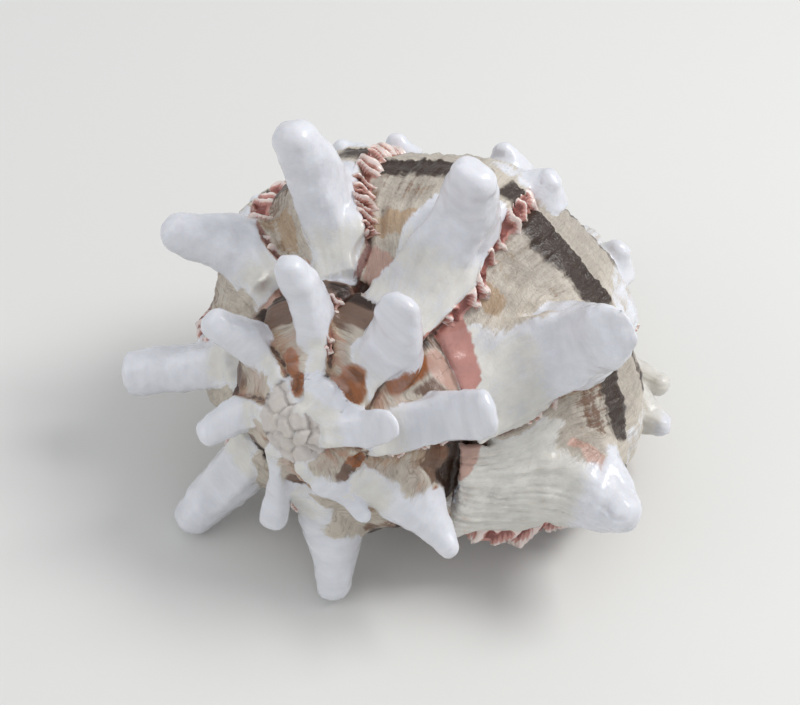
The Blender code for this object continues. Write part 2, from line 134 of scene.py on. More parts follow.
# Where the glaze of a varix thins out: degrees behind its crest, at the same four levels as its leads
GLAZE_END = (9, 8, 8, 7)
GLAZE_ENDS = {
    0: (30, 25, 11, 8), 39: (31, 20, 8, 7), 81: (16, 18, 9, 6), 123: (8, 9, 8, 7), 154: (14, 10, 8, 8),
    340: (14, 8, 3, 2), 424: (8, 26, 16, 8),
}
TIP_FLARE = {616: 1.50, 200: 1.12}     # horns that widen at the tip: varix turn, factor
TIP_CAP = {200: 0.25, 386: 0.35}       # worn flat tips: height of the cap in tip radii
TIP_CUTS = {39: (0.89, 1.3)}           # tips worn to a slant: share of the length, tilt to the apex
SHOULDER_SLOPE = 0.94      # how much a whorl falls from the suture out to its shoulder
PLATE_START = 0.66         # distance from the axis where plates end at the suture, in whorl radii
PLATE_STARTS = {424: 0.78, 472: 0.80, 517: 0.80, 564: 0.75}     # the same for short plates
PLATE_ROOT = -0.12         # how far plates run on into the suture, in shares of their middle line
PLATE_ROOTS = {0: -0.26, 123: -0.20}                            # the same for two long ones
OLD_PLATE_ROOT = -0.06     # the same for all of the older ones
OLD_PLATES = 270           # turn behind which plates are older
SUTURE_LEVEL = -0.36       # level where plates end at the suture
HORN_BEND = 0.08           # curl of a horn toward the apex, in horn lengths
PLATE_REACH = 0.72         # how far up its horn a plate runs

# Lower spines: degrees back, level on the whorl, length, lift, sweep, radius
LOWER_SPINES = (
    (-2, 0.84, 9.0, 6, 8, 3.0), (0, 1.00, 10.0, 0, 20, 2.9), (1, 1.22, 6.0, -20, 20, 2.5),
    (47, 0.88, 6.0, 6, 34, 3.1), (44, 1.08, 5.5, -6, 25, 2.8), (42, 1.28, 4.5, -25, 20, 2.4),
    (75, 0.48, 5.0, 10, 0, 3.0), (89, 0.86, 6.5, 6, 25, 3.0), (85, 1.07, 5.0, -8, 20, 2.6),
    (84, 1.27, 4.0, -25, 20, 2.3),
    (129, 0.50, 3.0, 8, 10, 2.5), (121, 0.76, 4.0, 0, 0, 2.7), (126, 1.02, 4.0, -8, 15, 2.5),
    (126, 1.24, 3.5, -25, 15, 2.1),
    (158, 0.50, 3.5, 5, 5, 2.5), (162, 0.82, 4.0, -2, 15, 2.5), (163, 1.06, 4.0, -15, 15, 2.2),
    (202, 0.55, 3.5, 2, 10, 2.4), (203, 0.86, 4.0, -8, 15, 2.3), (203, 1.10, 3.5, -20, 15, 2.1),
    (243, 0.60, 3.5, 0, 10, 2.2), (244, 0.90, 3.5, -10, 15, 2.1),
)

# Canal: distance from the axis, drop, shift to the older side and radius along its middle line
CANAL = (
    (0.34, 1.02, 11.5, 11.5), (0.26, 1.20, 9.4, 9.5), (0.19, 1.36, 7.7, 7.8), (0.14, 1.50, 6.9, 6.6),
    (0.10, 1.62, 6.7, 5.8), (0.08, 1.71, 7.1, 5.2), (0.07, 1.77, 7.8, 4.2), (0.07, 1.80, 8.3, 2.6),
)
OLD_CANALS = ((39, 15.0, 4.2), (81, 13.0, 3.9), (123, 11.0, 3.4), (160, 9.0, 3.0))

# Aperture: section of the cavity at the lip, and its size along the turn
CAVITY_OUTLINE = (
    (0.63, -0.24), (0.79, -0.12), (0.90, 0.00), (0.965, 0.15), (0.985, 0.33), (0.955, 0.55),
    (0.86, 0.77), (0.69, 0.96), (0.50, 1.08), (0.36, 1.12), (0.27, 1.05), (0.24, 0.86),
    (0.235, 0.62), (0.25, 0.40), (0.32, 0.20), (0.43, 0.04), (0.53, -0.11),
)
CAVITY_CENTRE = (0.63, 0.42)
CAVITY_RUN = (
    (-27, 1.05), (-19, 1.02), (-12, 0.97), (-4, 0.92), (20, 0.86), (60, 0.74), (100, 0.52), (125, 0.20),
)
SLOT_PATH = (
    (0.44, 1.04, 0.6), (0.30, 1.22, 0.4), (0.20, 1.40, 0.4), (0.12, 1.60, 1.2), (0.06, 1.75, 3.4),
    (0.03, 1.90, 6.0),
)
SLOT_RADIUS = 1.8

# Worn tip of the spire
APEX_CENTRE = -6.6
APEX_RADIUS = 5.8
APEX_LUMPS = 9

# Rest pose: rotations about X, Y and Z that lay the shell on its aperture side, apex to the front left
REST_ANGLES = (67.47, -17.07, -19.63)

# Camera of the photograph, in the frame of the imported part
CAMERA_PLACE = (-0.00186, -0.26918, 0.31653)
CAMERA_ROLL = 7.78         # degrees
CAMERA_TILT = 42.0         # degrees from straight down
CAMERA_LENS = 86.75

# Stage, in metres
FLOOR_HALF = 1.5
KEY_PLACE = (0.35, 0.08, 0.56)
KEY_SIZE = 0.25
FILL_PLACE = (-0.5, -0.3, 0.35)
FILL_SIZE = 0.5
LIT_SPOT = (0.0, 0.0, 0.04)
ROOM_COLOUR = (0.93, 0.96, 1.0)      # slightly cool daylight, linear


class MurexForm(bpy.types.PropertyGroup):
    """Sizes of the grown surface."""

    grain: FloatProperty(
        name="Grain", description="Spacing of the points when the surface is fused",
        default=0.00042, min=0.0003, max=0.002, precision=5, subtype="DISTANCE", unit="LENGTH")
    triangles: IntProperty(
        name="Triangles", description="Triangles kept in the finished shell", default=192000, min=5000)
    wrinkle: FloatProperty(
        name="Wrinkle height", description="Height of the growth wrinkles between the varices",
        default=0.00022, min=0.0, max=0.001, precision=5, subtype="DISTANCE", unit="LENGTH")
    keel: FloatProperty(
        name="Keel height", description="Height of the spiral keel at the outer side of the dark band",
        default=0.00040, min=0.0, max=0.002, precision=5, subtype="DISTANCE", unit="LENGTH")
    groove: FloatProperty(
        name="Edge groove", description="Depth of the groove in front of a varix",
        default=0.0008, min=0.0, max=0.003, precision=5, subtype="DISTANCE", unit="LENGTH")
    swell: FloatProperty(
        name="Swell", description="Height of the broad unevenness of the whole surface",
        default=0.00035, min=0.0, max=0.002, precision=5, subtype="DISTANCE", unit="LENGTH")
    crack: FloatProperty(
        name="Crack depth", description="Depth of the cracks between the lumps of the worn tip",
        default=0.0009, min=0.0, max=0.002, precision=5, subtype="DISTANCE", unit="LENGTH")


def linear(code):
    """Linear colour of an sRGB hex value."""
    parts = [int(code[i:i + 2], 16) / 255.0 for i in (1, 3, 5)]
    return tuple(c / 12.92 if c <= 0.04045 else ((c + 0.055) / 1.055) ** 2.4 for c in parts)


def colour(name, description, code):
    return FloatVectorProperty(
        name=name, description=description, default=linear(code), size=3, min=0.0, max=1.0,
        subtype="COLOR")


class MurexColours(bpy.types.PropertyGroup):
    """Colours of the shell and the stage."""

    enamel: colour("Enamel", "Glazed white of the horns", "#E1E2E8")
    plate: colour("Plate", "Warmer white of the plates toward the suture", "#D9D5CB")
    cream: colour("Cream", "Chalky ground between the varices", "#CBC1B3")
    # Real greyer patches, and also painted shade: a faint grey over the outer side of the whorls
    ash_and_shade: colour("Ash", "Greyer patches in the chalky ground", "#A39A8F")
    thread: colour("Thread", "Dark thin lines along the growth", "#6F6256")
    tan: colour("Tan", "Light stain", "#AE8F6C")
    umber: colour("Umber", "Dark stain", "#64422F")
    soot: colour("Soot", "Spiral band at the edge of the whorl", "#2E1A0C")
    rust: colour("Rust", "Glossy stain between the spire horns", "#95531F")
    coral: colour("Coral", "Callus at the suture and the inside of the lip", "#B5766A")
    callus: colour("Callus", "Paler callus along the suture", "#C0998A")
    # Partly the real dark red of the lip, partly painted shade in the recesses under and between the teeth
    wine_and_shade: colour("Wine", "Recesses between the teeth", "#84433D")
    rose: colour("Rose", "Paler pink in the folds of the teeth", "#C48D84")
    blossom: colour("Blossom", "Backs of the teeth", "#E9D8D1")
    nucleus: colour("Nucleus", "Worn first whorls", "#CDC4BC")
    # Painted shade: a dark colour laid into the hollows of the surface, not a stain of the shell
    crevice_shade: colour("Crevice shade", "Old dirt in the cracks", "#42342A")
    floor: colour("Floor", "Pale studio floor", "#DDDCD8")


class MurexStage(bpy.types.PropertyGroup):
    """Light and camera of the stage."""

    lens: FloatProperty(
        name="Lens", description="Focal length of the camera in millimetres", default=CAMERA_LENS, min=20.0)
    key: FloatProperty(
        name="Key light", description="Power of the large soft light", default=2.45, min=0.0,
        subtype="POWER", unit="POWER")
    fill: FloatProperty(
        name="Fill light", description="Power of the weak light on the other side", default=0.7, min=0.0,
        subtype="POWER", unit="POWER")
    sky: FloatProperty(
        name="Ambient light", description="Strength of the even light of the room", default=0.63, min=0.0)


def smoothstep(value, low, high):
    """Share that rises smoothly from 0 to 1 between two limits."""
    share = np.clip((np.asarray(value, float) - low) / (high - low), 0.0, 1.0)
    return share * share * (3.0 - 2.0 * share)


def rounded(points, steps):
    """Catmull-Rom curve through the given points."""
    known = np.array(points, float)
    known = np.vstack([2 * known[0] - known[1], known, 2 * known[-1] - known[-2]])
    out = []
    for i in range(1, len(known) - 2):
        a, b, c, d = known[i - 1:i + 3]
        for s in np.linspace(0.0, 1.0, steps, endpoint=False):
            out.append(0.5 * (2 * b + (c - a) * s + (2 * a - 5 * b + 4 * c - d) * s ** 2
                              + (3 * b - a - 3 * c + d) * s ** 3))
    out.append(known[-2])
    return np.array(out)


def read_off(table, turn):
    """Value at a turn of a table of turns and values."""
    turns, values = zip(*table)
    return np.interp(turn, turns, values)


def whorl_radius(turn):
    return LIP_RADIUS * WHORL_RATIO ** (-np.asarray(turn, float) / 360.0)


def whorl_drop(turn):
    radius = whorl_radius(turn)
    return SPIRE_HEIGHT * radius * (radius / LIP_RADIUS) ** SPIRE_STRETCH


def slant(level):
    """Degrees between a growth line at a level and the same line at the shoulder."""
    level = np.asarray(level, float)
    return SLANT_BASE * smoothstep(level, 0.2, 1.2) - SLANT_SUTURE * (1.0 - smoothstep(level, -0.42, 0.0))


def place(turn, rho, level):
    """Shell-frame points at a turn, a distance from the axis and a drop, both in whorl radii."""
    radius = whorl_radius(turn)
    angle = np.radians(START_ANGLE + np.asarray(turn, float))
    rho = np.asarray(rho, float)
    height = -(whorl_drop(turn) + radius * np.asarray(level, float))
    return np.stack(np.broadcast_arrays(
        radius * rho * np.cos(angle), radius * rho * np.sin(angle), height), -1)


def frame_at(turn):
    """Radial, older-side and apex directions at a turn."""
    angle = math.radians(START_ANGLE + turn)
    radial = np.array([math.cos(angle), math.sin(angle), 0.0])
    older = np.array([-math.sin(angle), math.cos(angle), 0.0])
    return radial, older, np.array([0.0, 0.0, 1.0])


def lead_of(varix, level):
    """Degrees from the crest of a varix to its leading edge, at a level."""
    return np.interp(level, LEAD_LEVELS, varix.leads)


class Growth:
    """Closed solids of the shell, with the turn and the glaze of each of their points."""

    def __init__(self):
        self.solids = []
        self.points = []
        self.turns = []
        self.glaze = []

    def loft(self, name, rings, turns, glaze):
        """Add closed rings joined in order, with both ends capped."""
        self.solids.append(new_mesh(name, *lofted(rings)))
        turns, glaze = np.broadcast_to(turns, len(rings)), np.broadcast_to(glaze, len(rings))
        for ring, turn, shine in zip(rings, turns, glaze):
            self.points.extend(ring)
            self.turns.extend([turn] * len(ring))
            self.glaze.extend([shine] * len(ring))


def lofted(rings, first=0):
    """Points and faces of closed rings joined in order; the points are numbered from the first."""
    count = len(rings[0])
    last = (len(rings) - 1) * count
    faces = [tuple(range(first, first + count)), tuple(range(first + last, first + last + count))[::-1]]
    for k in range(len(rings) - 1):
        for j in range(count):
            a = first + k * count + j
            b = first + k * count + (j + 1) % count
            faces.append((a, b, b + count, a + count))
    return np.concatenate(rings), faces


def new_mesh(name, points, faces):
    """Object of a mesh whose faces point out."""
    mesh = bpy.data.meshes.new(name)
    mesh.from_pydata([tuple(p) for p in points], [], [tuple(f) for f in faces])
    mesh.update()
    shape = bpy.data.objects.new(name, mesh)
    bpy.context.scene.collection.objects.link(shape)
    edit = bmesh.new()
    edit.from_mesh(mesh)
    bmesh.ops.recalc_face_normals(edit, faces=edit.faces[:])
    edit.to_mesh(mesh)
    edit.free()
    return shape


def crest_height(level):
    """Height of a varix at a level, in whorl radii."""
    share = 0.55 + 0.45 * smoothstep(level, -0.37, -0.02)
    share *= 1.0 - 0.32 * smoothstep(level, 0.08, 0.35)
    share *= 1.0 - 0.30 * smoothstep(level, 0.5, 1.1)
    share *= 1.0 - smoothstep(level, 1.3, 1.8)
    return VARIX_RISE * share


def lip_turns(turn, level):
    """Turns of the points of a ring; ahead of the last varix the lip is drawn out toward the suture."""
    reach = np.interp(level, LEAD_LEVELS, LIP_EDGES) / LIP_EDGE
    return np.full_like(level, turn) * np.where(turn < 0.0, reach, 1.0)


def varix_rise(turn, level):
    """Rise of the varices above the whorl, in whorl radii."""
    best = np.zeros_like(level)
    for varix in VARICES:
        past_crest = turn - varix.turn
        if -AHEAD < past_crest.min() and past_crest.max() < TRAIL:
            past_edge = past_crest + lead_of(varix, level)
            edge = 0.80 * smoothstep(past_edge, -0.4, 0.4) + 0.20 * smoothstep(past_edge, 0.0, 6.0)
            best = np.maximum(best, edge * (1.0 - smoothstep(past_crest, -1, TRAIL)))
    return best * crest_height(level)


def outline_normals(outline):
    """Directions out of the whorl along its half section."""
    ahead = np.gradient(outline, axis=0)
    normal = np.stack([ahead[:, 1], -ahead[:, 0]], 1)
    return normal / np.linalg.norm(normal, axis=1)[:, None]


def fullness(turn, level):
    """Factor by which a whorl is wider than the half section."""
    return 1.0 + (read_off(FULLNESS, turn) - 1.0) * smoothstep(level, -0.3, 0.15)


def growth_line(turn, outline, normals, rise):
    """Points of the edge that the lip had at a turn, lifted by a rise in whorl radii."""
    level = outline[:, 1]
    shift = read_off(SUTURE_SHIFT, turn) * (1.0 - smoothstep(level, -0.37, -0.03))
    rho = (outline[:, 0] + shift) * fullness(turn, level) + normals[:, 0] * rise
    level = level + shift * SHOULDER_SLOPE + normals[:, 1] * rise
    return place(turn + slant(level), rho, level)


def whorl_ring(turn, outline, normals):
    """Growth line at a turn, closed along the axis."""
    turns = lip_turns(turn, outline[:, 1])
    line = growth_line(turns, outline, normals, varix_rise(turns, outline[:, 1]))
    ends = np.array([outline[-1, 1], -0.45 + 1.6 * float(read_off(SUTURE_SHIFT, turn))])
    core = place(turn + slant(ends), np.zeros(2), ends)
    return np.vstack([line, core])


def grow_whorls(growth):
    outline = rounded(OUTLINE, 6)
    normals = outline_normals(outline)
    turns = np.arange(-LIP_EDGE, WHORL_COUNT * 360.0, 0.7)
    growth.loft("whorls", [whorl_ring(t, outline, normals) for t in turns], turns, 0.0)


def point_on_whorl(turn, level):
    """Point on the whorl surface, without the varices."""
    outline = rounded(OUTLINE, 12)
    rho = float(np.interp(level, outline[:, 1], outline[:, 0]))
    return place(turn, rho * fullness(turn, level), level)


def boxy_circle(sides, squareness=0.85):
    """Sines and cosines of a circle pressed a little toward a square."""
    around = np.linspace(0.0, 2 * math.pi, sides, endpoint=False)
    across, along = np.cos(around), np.sin(around)
    return np.sign(across) * np.abs(across) ** squareness, np.sign(along) * np.abs(along) ** squareness


def horn_rings(foot, axes, length, tip, spread, flat, flare=1.0, cap=0.75, sides=28, steps=16):
    """Blunt tapered horn; axes are its out, side and up directions."""
    out, side, up = axes
    across, along = boxy_circle(sides)
    shaft = length - cap * tip
    rings = []
    for s in np.linspace(-0.4, 1.0, steps + 4):
        reach = max(s, 0.0)
        centre = foot + out * shaft * s + up * HORN_BEND * length * reach ** 2
        width = tip * (1.0 + (spread - 1.0) * (1.0 - reach) ** 1.5)
        width *= 1.0 + (flare - 1.0) * float(smoothstep(reach, 0.55, 1.0))
        width *= 1.0 - 0.12 * float(smoothstep(reach, 0.75, 1.0))
        rings.append(centre + np.outer(across * width, side) + np.outer(along * width * flat, up))
    middle = rings[-1].mean(0)
    heading = out + up * 2 * HORN_BEND
    heading = heading / np.linalg.norm(heading)
    last = rings[-1]
    for angle in (20, 38, 55, 70, 82):
        turned = math.radians(angle)
        rings.append(middle + (last - middle) * math.cos(turned) + heading * tip * cap * math.sin(turned))
    return rings


def worn_flat(rings, spot, axes, tilt):
    """Rings of a horn pressed back onto a slanting plane through a spot."""
    facing = axes[0] + axes[2] * tilt
    return [ring - np.outer(np.maximum((ring - spot) @ facing, 0.0), axes[0]) for ring in rings]


def horn_axes(turn, lift, sweep):
    """Out, side and up directions of a horn."""
    radial, older, axis = frame_at(turn)
    a, b = math.radians(lift), math.radians(sweep)
    out = math.cos(a) * math.cos(b) * radial + math.sin(a) * axis + math.cos(a) * math.sin(b) * older
    side = np.cross(axis, out)
    side = side / np.linalg.norm(side)
    return out, side, np.cross(out, side)


def grow_horns(growth):
    for varix in VARICES:
        turn = varix.turn
        axes = horn_axes(turn, varix.lift, varix.sweep)
        foot = place(turn, 1.0, 0.0)
        ends = TIP_FLARE.get(turn, 1.0), TIP_CAP.get(turn, 0.75)
        rings = horn_rings(foot, axes, varix.length, varix.tip, varix.spread, varix.flat, *ends)
        if turn in TIP_CUTS:
            share, tilt = TIP_CUTS[turn]
            rings = worn_flat(rings, foot + axes[0] * varix.length * share, axes, tilt)
        shine = smoothstep(np.linspace(-0.4, 1.3, len(rings)), 0.0, 0.25)
        growth.loft(f"horn_{turn}", rings, turn, shine)
        growth.loft(f"plate_{turn}", plate_rings(varix, foot, axes), turn, 1.0)


def plate_rings(varix, foot, axes):
    """Broad glazed plate of a varix, from the suture up onto the apex side of its horn."""
    turn, length, tip, flat, plate = varix.turn, varix.length, varix.tip, varix.flat, varix.plate
    out, side, up = axes
    scale = float(whorl_radius(turn)) / LIP_RADIUS
    ahead = math.degrees(plate / (0.70 * float(whorl_radius(turn))))
    rho = PLATE_STARTS.get(turn, PLATE_START) + float(read_off(SUTURE_SHIFT, turn))
    level = SUTURE_LEVEL + SHOULDER_SLOPE * (rho - PLATE_START)
    start = turn - float(lead_of(varix, level)) + ahead + float(slant(level))
    start = place(start, rho, level)
    bend = foot + up * tip * flat * 0.7
    end = foot + out * length * PLATE_REACH + up * tip * flat * 0.25
    across, along = boxy_circle(24, 0.7)
    rings = []
    root = PLATE_ROOTS.get(turn, PLATE_ROOT if turn < OLD_PLATES else OLD_PLATE_ROOT)
    for s in np.linspace(root, 1.0, 18):
        centre = (1 - s) ** 2 * start + 2 * s * (1 - s) * bend + s * s * end
        heading = 2 * (1 - s) * (bend - start) + 2 * s * (end - bend)
        heading = heading / np.linalg.norm(heading)
        flank = side - heading * (side @ heading)
        flank = flank / np.linalg.norm(flank)
        normal = np.cross(heading, flank)
        width = plate + (tip * 0.95 - plate) * s
        thick = 1.5 * scale + (tip * flat * 0.72 - 1.5 * scale) * float(smoothstep(s, 0.0, 0.8))
        rings.append(centre + np.outer(across * width, flank) + np.outer(along * thick, normal))
    return rings


def tube_rings(path, radii, sides=14):
    """Round tube along a path with a radius at each point."""
    path = np.array(path, float)
    around = np.linspace(0.0, 2 * math.pi, sides, endpoint=False)
    ahead = np.gradient(path, axis=0)
    rings = []
    side = None
    for point, heading, radius in zip(path, ahead, radii):
        heading = heading / np.linalg.norm(heading)
        if side is None:
            side = np.cross(heading, (0.3, 0.2, 0.93))
        side = side - heading * (side @ heading)
        side = side / np.linalg.norm(side)
        up = np.cross(heading, side)
        rings.append(point + radius * (np.outer(np.cos(around), side) + np.outer(np.sin(around), up)))
    return rings


def grow_lower_spines(growth):
    for k, (turn, level, length, lift, sweep, radius) in enumerate(LOWER_SPINES):
        axes = horn_axes(turn, lift, sweep)
        foot = point_on_whorl(turn, level)
        foot = foot + axes[0] * 0.6 * VARIX_RISE * float(whorl_radius(turn))
        rings = horn_rings(foot, axes, length, radius, 1.8, 0.8, sides=18, steps=8)
        growth.loft(f"spine_{k}", rings, turn, 1.0)


def grow_canals(growth):
    """The open canal at the lip and the worn ends of the earlier ones."""
    older = frame_at(CANAL_TURN)[1]
    path, radii = [], []
    for rho, level, shift, radius in rounded(CANAL, 5):
        path.append(place(CANAL_TURN + float(slant(level)), rho, level) + older * shift)
        radii.append(radius)
    growth.loft("canal", tube_rings(path, radii, 28), CANAL_TURN, 0.6)
    for turn, length, radius in OLD_CANALS:
        radial, older, axis = frame_at(turn + 6)
        start = place(turn + 6, 0.16, 1.15)
        heading = 0.62 * radial - 0.78 * axis + 0.12 * older
        path = [start + heading * length * s + radial * 1.5 * s * s for s in np.linspace(-0.3, 1.0, 9)]
        radii = [radius * (1.5 - 0.55 * s) for s in np.linspace(0.0, 1.0, 9)]
        growth.loft(f"canal_{turn}", tube_rings(path, radii, 18), turn, 0.6)


def grow_apex(growth):
    """Knobbly worn tip: one rounded mass and lumps spread evenly over its top."""
    golden = math.pi * (3.0 - math.sqrt(5.0))
    for k in range(APEX_LUMPS + 1):
        if k:
            tilt = math.radians(20 + 60 * k / APEX_LUMPS)
            centre = np.array([math.sin(tilt) * math.cos(k * golden),
                               math.sin(tilt) * math.sin(k * golden), math.cos(tilt)])
            centre = centre * APEX_RADIUS * 0.78
            radius = APEX_RADIUS * (0.30 + 0.10 * math.cos(2.1 * k))
        else:
            centre = np.zeros(3)
            radius = APEX_RADIUS
        path = [centre + (0, 0, APEX_CENTRE + radius * z) for z in np.cos(np.linspace(3.0, 0.14, 11))]
        radii = [radius * math.sin(a) for a in np.linspace(3.0, 0.14, 11)]
        growth.loft(f"lump_{k}", tube_rings(path, radii, 20), WHORL_COUNT * 360.0, 0.0)


def cavity():
    """Cutter for the hollow of the last whorl."""
    outline = rounded(CAVITY_OUTLINE + CAVITY_OUTLINE[:1], 3)[:-1]
    centre = np.array(CAVITY_CENTRE)
    rings = []
    for turn in np.arange(CAVITY_RUN[0][0], CAVITY_RUN[-1][0] + 0.1, 4.0):
        shape = centre + (outline - centre) * float(read_off(CAVITY_RUN, turn))
        rings.append(place(turn + slant(shape[:, 1]), shape[:, 0], shape[:, 1]))
    return new_mesh("cavity", *lofted(rings))


def canal_slot():
    """Cutter for the open groove along the canal."""
    older = frame_at(CANAL_TURN)[1]
    path = []
    for rho, level, shift in rounded(SLOT_PATH, 4):
        path.append(place(CANAL_TURN + float(slant(level)), rho, level) + older * shift)
    return new_mesh("canal_slot", *lofted(tube_rings(path, [SLOT_RADIUS] * len(path), 14)))


def joined(name, shapes):
    bpy.ops.object.select_all(action="DESELECT")
    for shape in shapes:
        shape.select_set(True)
    bpy.context.view_layer.objects.active = shapes[0]
    bpy.ops.object.join()
    shape = bpy.context.view_layer.objects.active
    shape.name = name
    shape.data.name = name
    return shape


def applied(shape):
    """Replace the mesh of an object by the result of its modifiers."""
    graph = bpy.context.evaluated_depsgraph_get()
    mesh = bpy.data.meshes.new_from_object(shape.evaluated_get(graph))
    shape.modifiers.clear()
    old = shape.data
    shape.data = mesh
    bpy.data.meshes.remove(old)
    mesh.name = shape.name


def fused(shape, grain, rounds):
    """Fuse overlapping closed meshes into one even skin and soften it."""
    fuse = shape.modifiers.new("fuse", "REMESH")
    fuse.mode = "VOXEL"
    fuse.voxel_size = grain
    soften = shape.modifiers.new("soften", "SMOOTH")
    soften.factor = 0.5
    soften.iterations = rounds
    applied(shape)


def keep_largest(mesh):
    """Keep the outer skin; slivers and pockets that the cuts leave are dropped."""
    edges = mesh_edges(mesh)
    label = np.arange(len(mesh.vertices))
    while True:
        low = np.minimum(label[edges[:, 0]], label[edges[:, 1]])
        spread = label.copy()
        np.minimum.at(spread, edges[:, 0], low)
        np.minimum.at(spread, edges[:, 1], low)
        spread = spread[spread]
        if (spread == label).all():
            break
        label = spread
    names, sizes = np.unique(label, return_counts=True)
    small = set(np.nonzero(label != names[sizes.argmax()])[0].tolist())
    if small:
        edit = bmesh.new()
        edit.from_mesh(mesh)
        bmesh.ops.delete(edit, geom=[v for v in edit.verts if v.index in small], context="VERTS")
        edit.to_mesh(mesh)
        edit.free()


def mesh_points(mesh):
    flat = np.empty(len(mesh.vertices) * 3)
    mesh.vertices.foreach_get("co", flat)
    return flat.reshape(-1, 3)


def mesh_normals(mesh):
    flat = np.empty(len(mesh.vertices) * 3, np.float32)
    mesh.vertex_normals.foreach_get("vector", flat)
    return flat.reshape(-1, 3).astype(float)


def mesh_edges(mesh):
    flat = np.empty(len(mesh.edges) * 2, np.int32)
    mesh.edges.foreach_get("vertices", flat)
    return flat.reshape(-1, 2)


def mean_over_edges(to_first, to_second, edges, count):
    """Mean at each point of what its edges bring, with one value for either end of each edge."""
    total = np.bincount(edges[:, 0], to_first, count) + np.bincount(edges[:, 1], to_second, count)
    return total / np.maximum(np.bincount(edges.ravel(), minlength=count), 1)


def neighbour_mean(values, edges):
    """Mean of a value over the neighbours of each point."""
    return mean_over_edges(values[edges[:, 1]], values[edges[:, 0]], edges, len(values))


def spread_out(values, edges, rounds):
    """Average a value of each point with its neighbours, a number of times."""
    for _ in range(rounds):
        values = 0.5 * values + 0.5 * neighbour_mean(values, edges)
    return values


def blob(fields, turn, level, half_turn, half_level):
    """Soft round patch about a place on the whorl."""
    far = np.hypot((fields["turn"] - turn) / half_turn, (fields["level"] - level) / half_level)
    return 1.0 - smoothstep(far, 0.4, 1.3)


# Patches that don't follow the varices: layer, turn, level, half size in degrees and in whorl radii
PATCHES = (
    ("rust", 496, -0.30, 9, 0.12), ("rust", 441, -0.33, 12, 0.14), ("rust", 430, -0.39, 10, 0.10),
    ("rust", 414, -0.02, 9, 0.20), ("rust", 713, 0.06, 12, 0.16), ("rust", 351, -0.03, 4, 0.08),
    ("umber", 361, 0.0, 6, 0.12), ("band", 356, 0.12, 5, 0.13),
    ("rust", 838, -0.02, 14, 0.20), ("callus", 407, 0.22, 13, 0.15),
    ("ash_and_shade", 62, 0.08, 9, 0.14), ("ash_and_shade", 15, -0.05, 7, 0.12), ("callus", 10, -0.07, 4, 0.05),
    ("tan", 139, -0.10, 4, 0.10), ("tan", 96, -0.08, 5, 0.04), ("tan", 103, -0.10, 6, 0.06),
    ("tan", 66, -0.15, 7, 0.05),
)
# Chalky spots on the older flanks of the last plates: share of the glaze that is gone, and place as above
BARE_SPOTS = ((0.8, 14, -0.05, 5, 0.09), (0.75, 57, -0.10, 7, 0.10), (0.6, 60, -0.20, 5, 0.08))
# Callus along the suture: layer, and its upper limit as turns and levels
CALLUS = (
    ("coral", ((46, -0.43), (49, -0.365), (54, -0.334), (63, -0.286), (70, -0.255), (75, -0.29),
               (77, -0.43))),
    ("callus", ((86, -0.43), (90, -0.36), (96, -0.30), (101, -0.22), (110, -0.16), (113, -0.43))),
    ("callus", ((-30, -0.39), (0, -0.37), (24, -0.35), (28, -0.45))),
    ("callus", ((126, -0.5), (134, -0.24), (144, -0.20), (148, -0.5))),
)
NO_CALLUS = -0.425         # an upper limit below this level leaves no callus
# Pink strip along the inner edge of the last plate: degrees back, limit in whorl radii
RIBBON_LEVELS = (-0.60, -0.15)
RIBBON_END = 35.0          # degrees back
RIBBON = ((-8, 0.49), (-4, 0.52), (3, 0.57), (11, 0.63), (19, 0.65), (26, 0.64), (31, 0.50))
# Lower and upper limit of the dark band under the shoulder: degrees back, level
BAND_FOOT = ((-20, 0.10), (25, 0.10), (42, 0.07), (75, 0.04), (110, 0.05))
BAND_TOP = ((-20, 0.325), (25, 0.325), (42, 0.305), (75, 0.295), (110, 0.285))
BAND_SOFT = 0.13           # levels over which the band fades in
# The two fainter bands below it: strength, and the levels between which each fades in and out
LOWER_BANDS = ((0.66, (0.57, 0.68), (0.72, 0.77)), (0.62, (0.95, 1.05), (1.09, 1.15)))
# How strongly the ground is stained ahead of each varix: varix turn, share
STAINS = {39: 1.0, 81: 0.40, 123: 0.55, 154: 0.9, 386: 1.15, 424: 1.0, 472: 1.1, 517: 1.1}
STAIN = 0.8                # the same for the other varices

# Turns, in degrees back from the last varix, between which a thing fades in
SPIRE_TURNS = (330.0, 365.0)         # the stains of the spire in place of those of the last whorl
TIP_TURNS = (738.0, 760.0)           # glaze over the whole tip
WORN_TURNS = (800.0, 870.0)          # the worn shape of the first whorls
PALE_TURNS = (825.0, 880.0)          # their worn colour
LESS_SHADE_TURNS = (780.0, 840.0)         # less painted crevice shade
PARIETAL_TURNS = (322.0, 334.0)      # the callus across the aperture from the lip
PARIETAL_LEVELS = (0.48, 0.54)
SMOOTH_TURNS = (20.0, 40.0)          # glaze that hides the relief, unlike that of the last varix
LAST_PLATE_TURNS = (20.0, 32.0)      # the end of the last plate
LAST_PLATE_REACH = (0.98, 1.15)      # its outer limit, in whorl radii
CAVITY_END = 150.0                   # turn behind which nothing of the cavity's wall lies
OUTER_LEVELS = (0.28, 0.33)          # from the dark band to the outer side of a whorl
KEEL_LEVEL = 0.295                   # level of the spiral keel
KNOT_LEVEL = -0.03                   # level of the row of knots at the shoulder


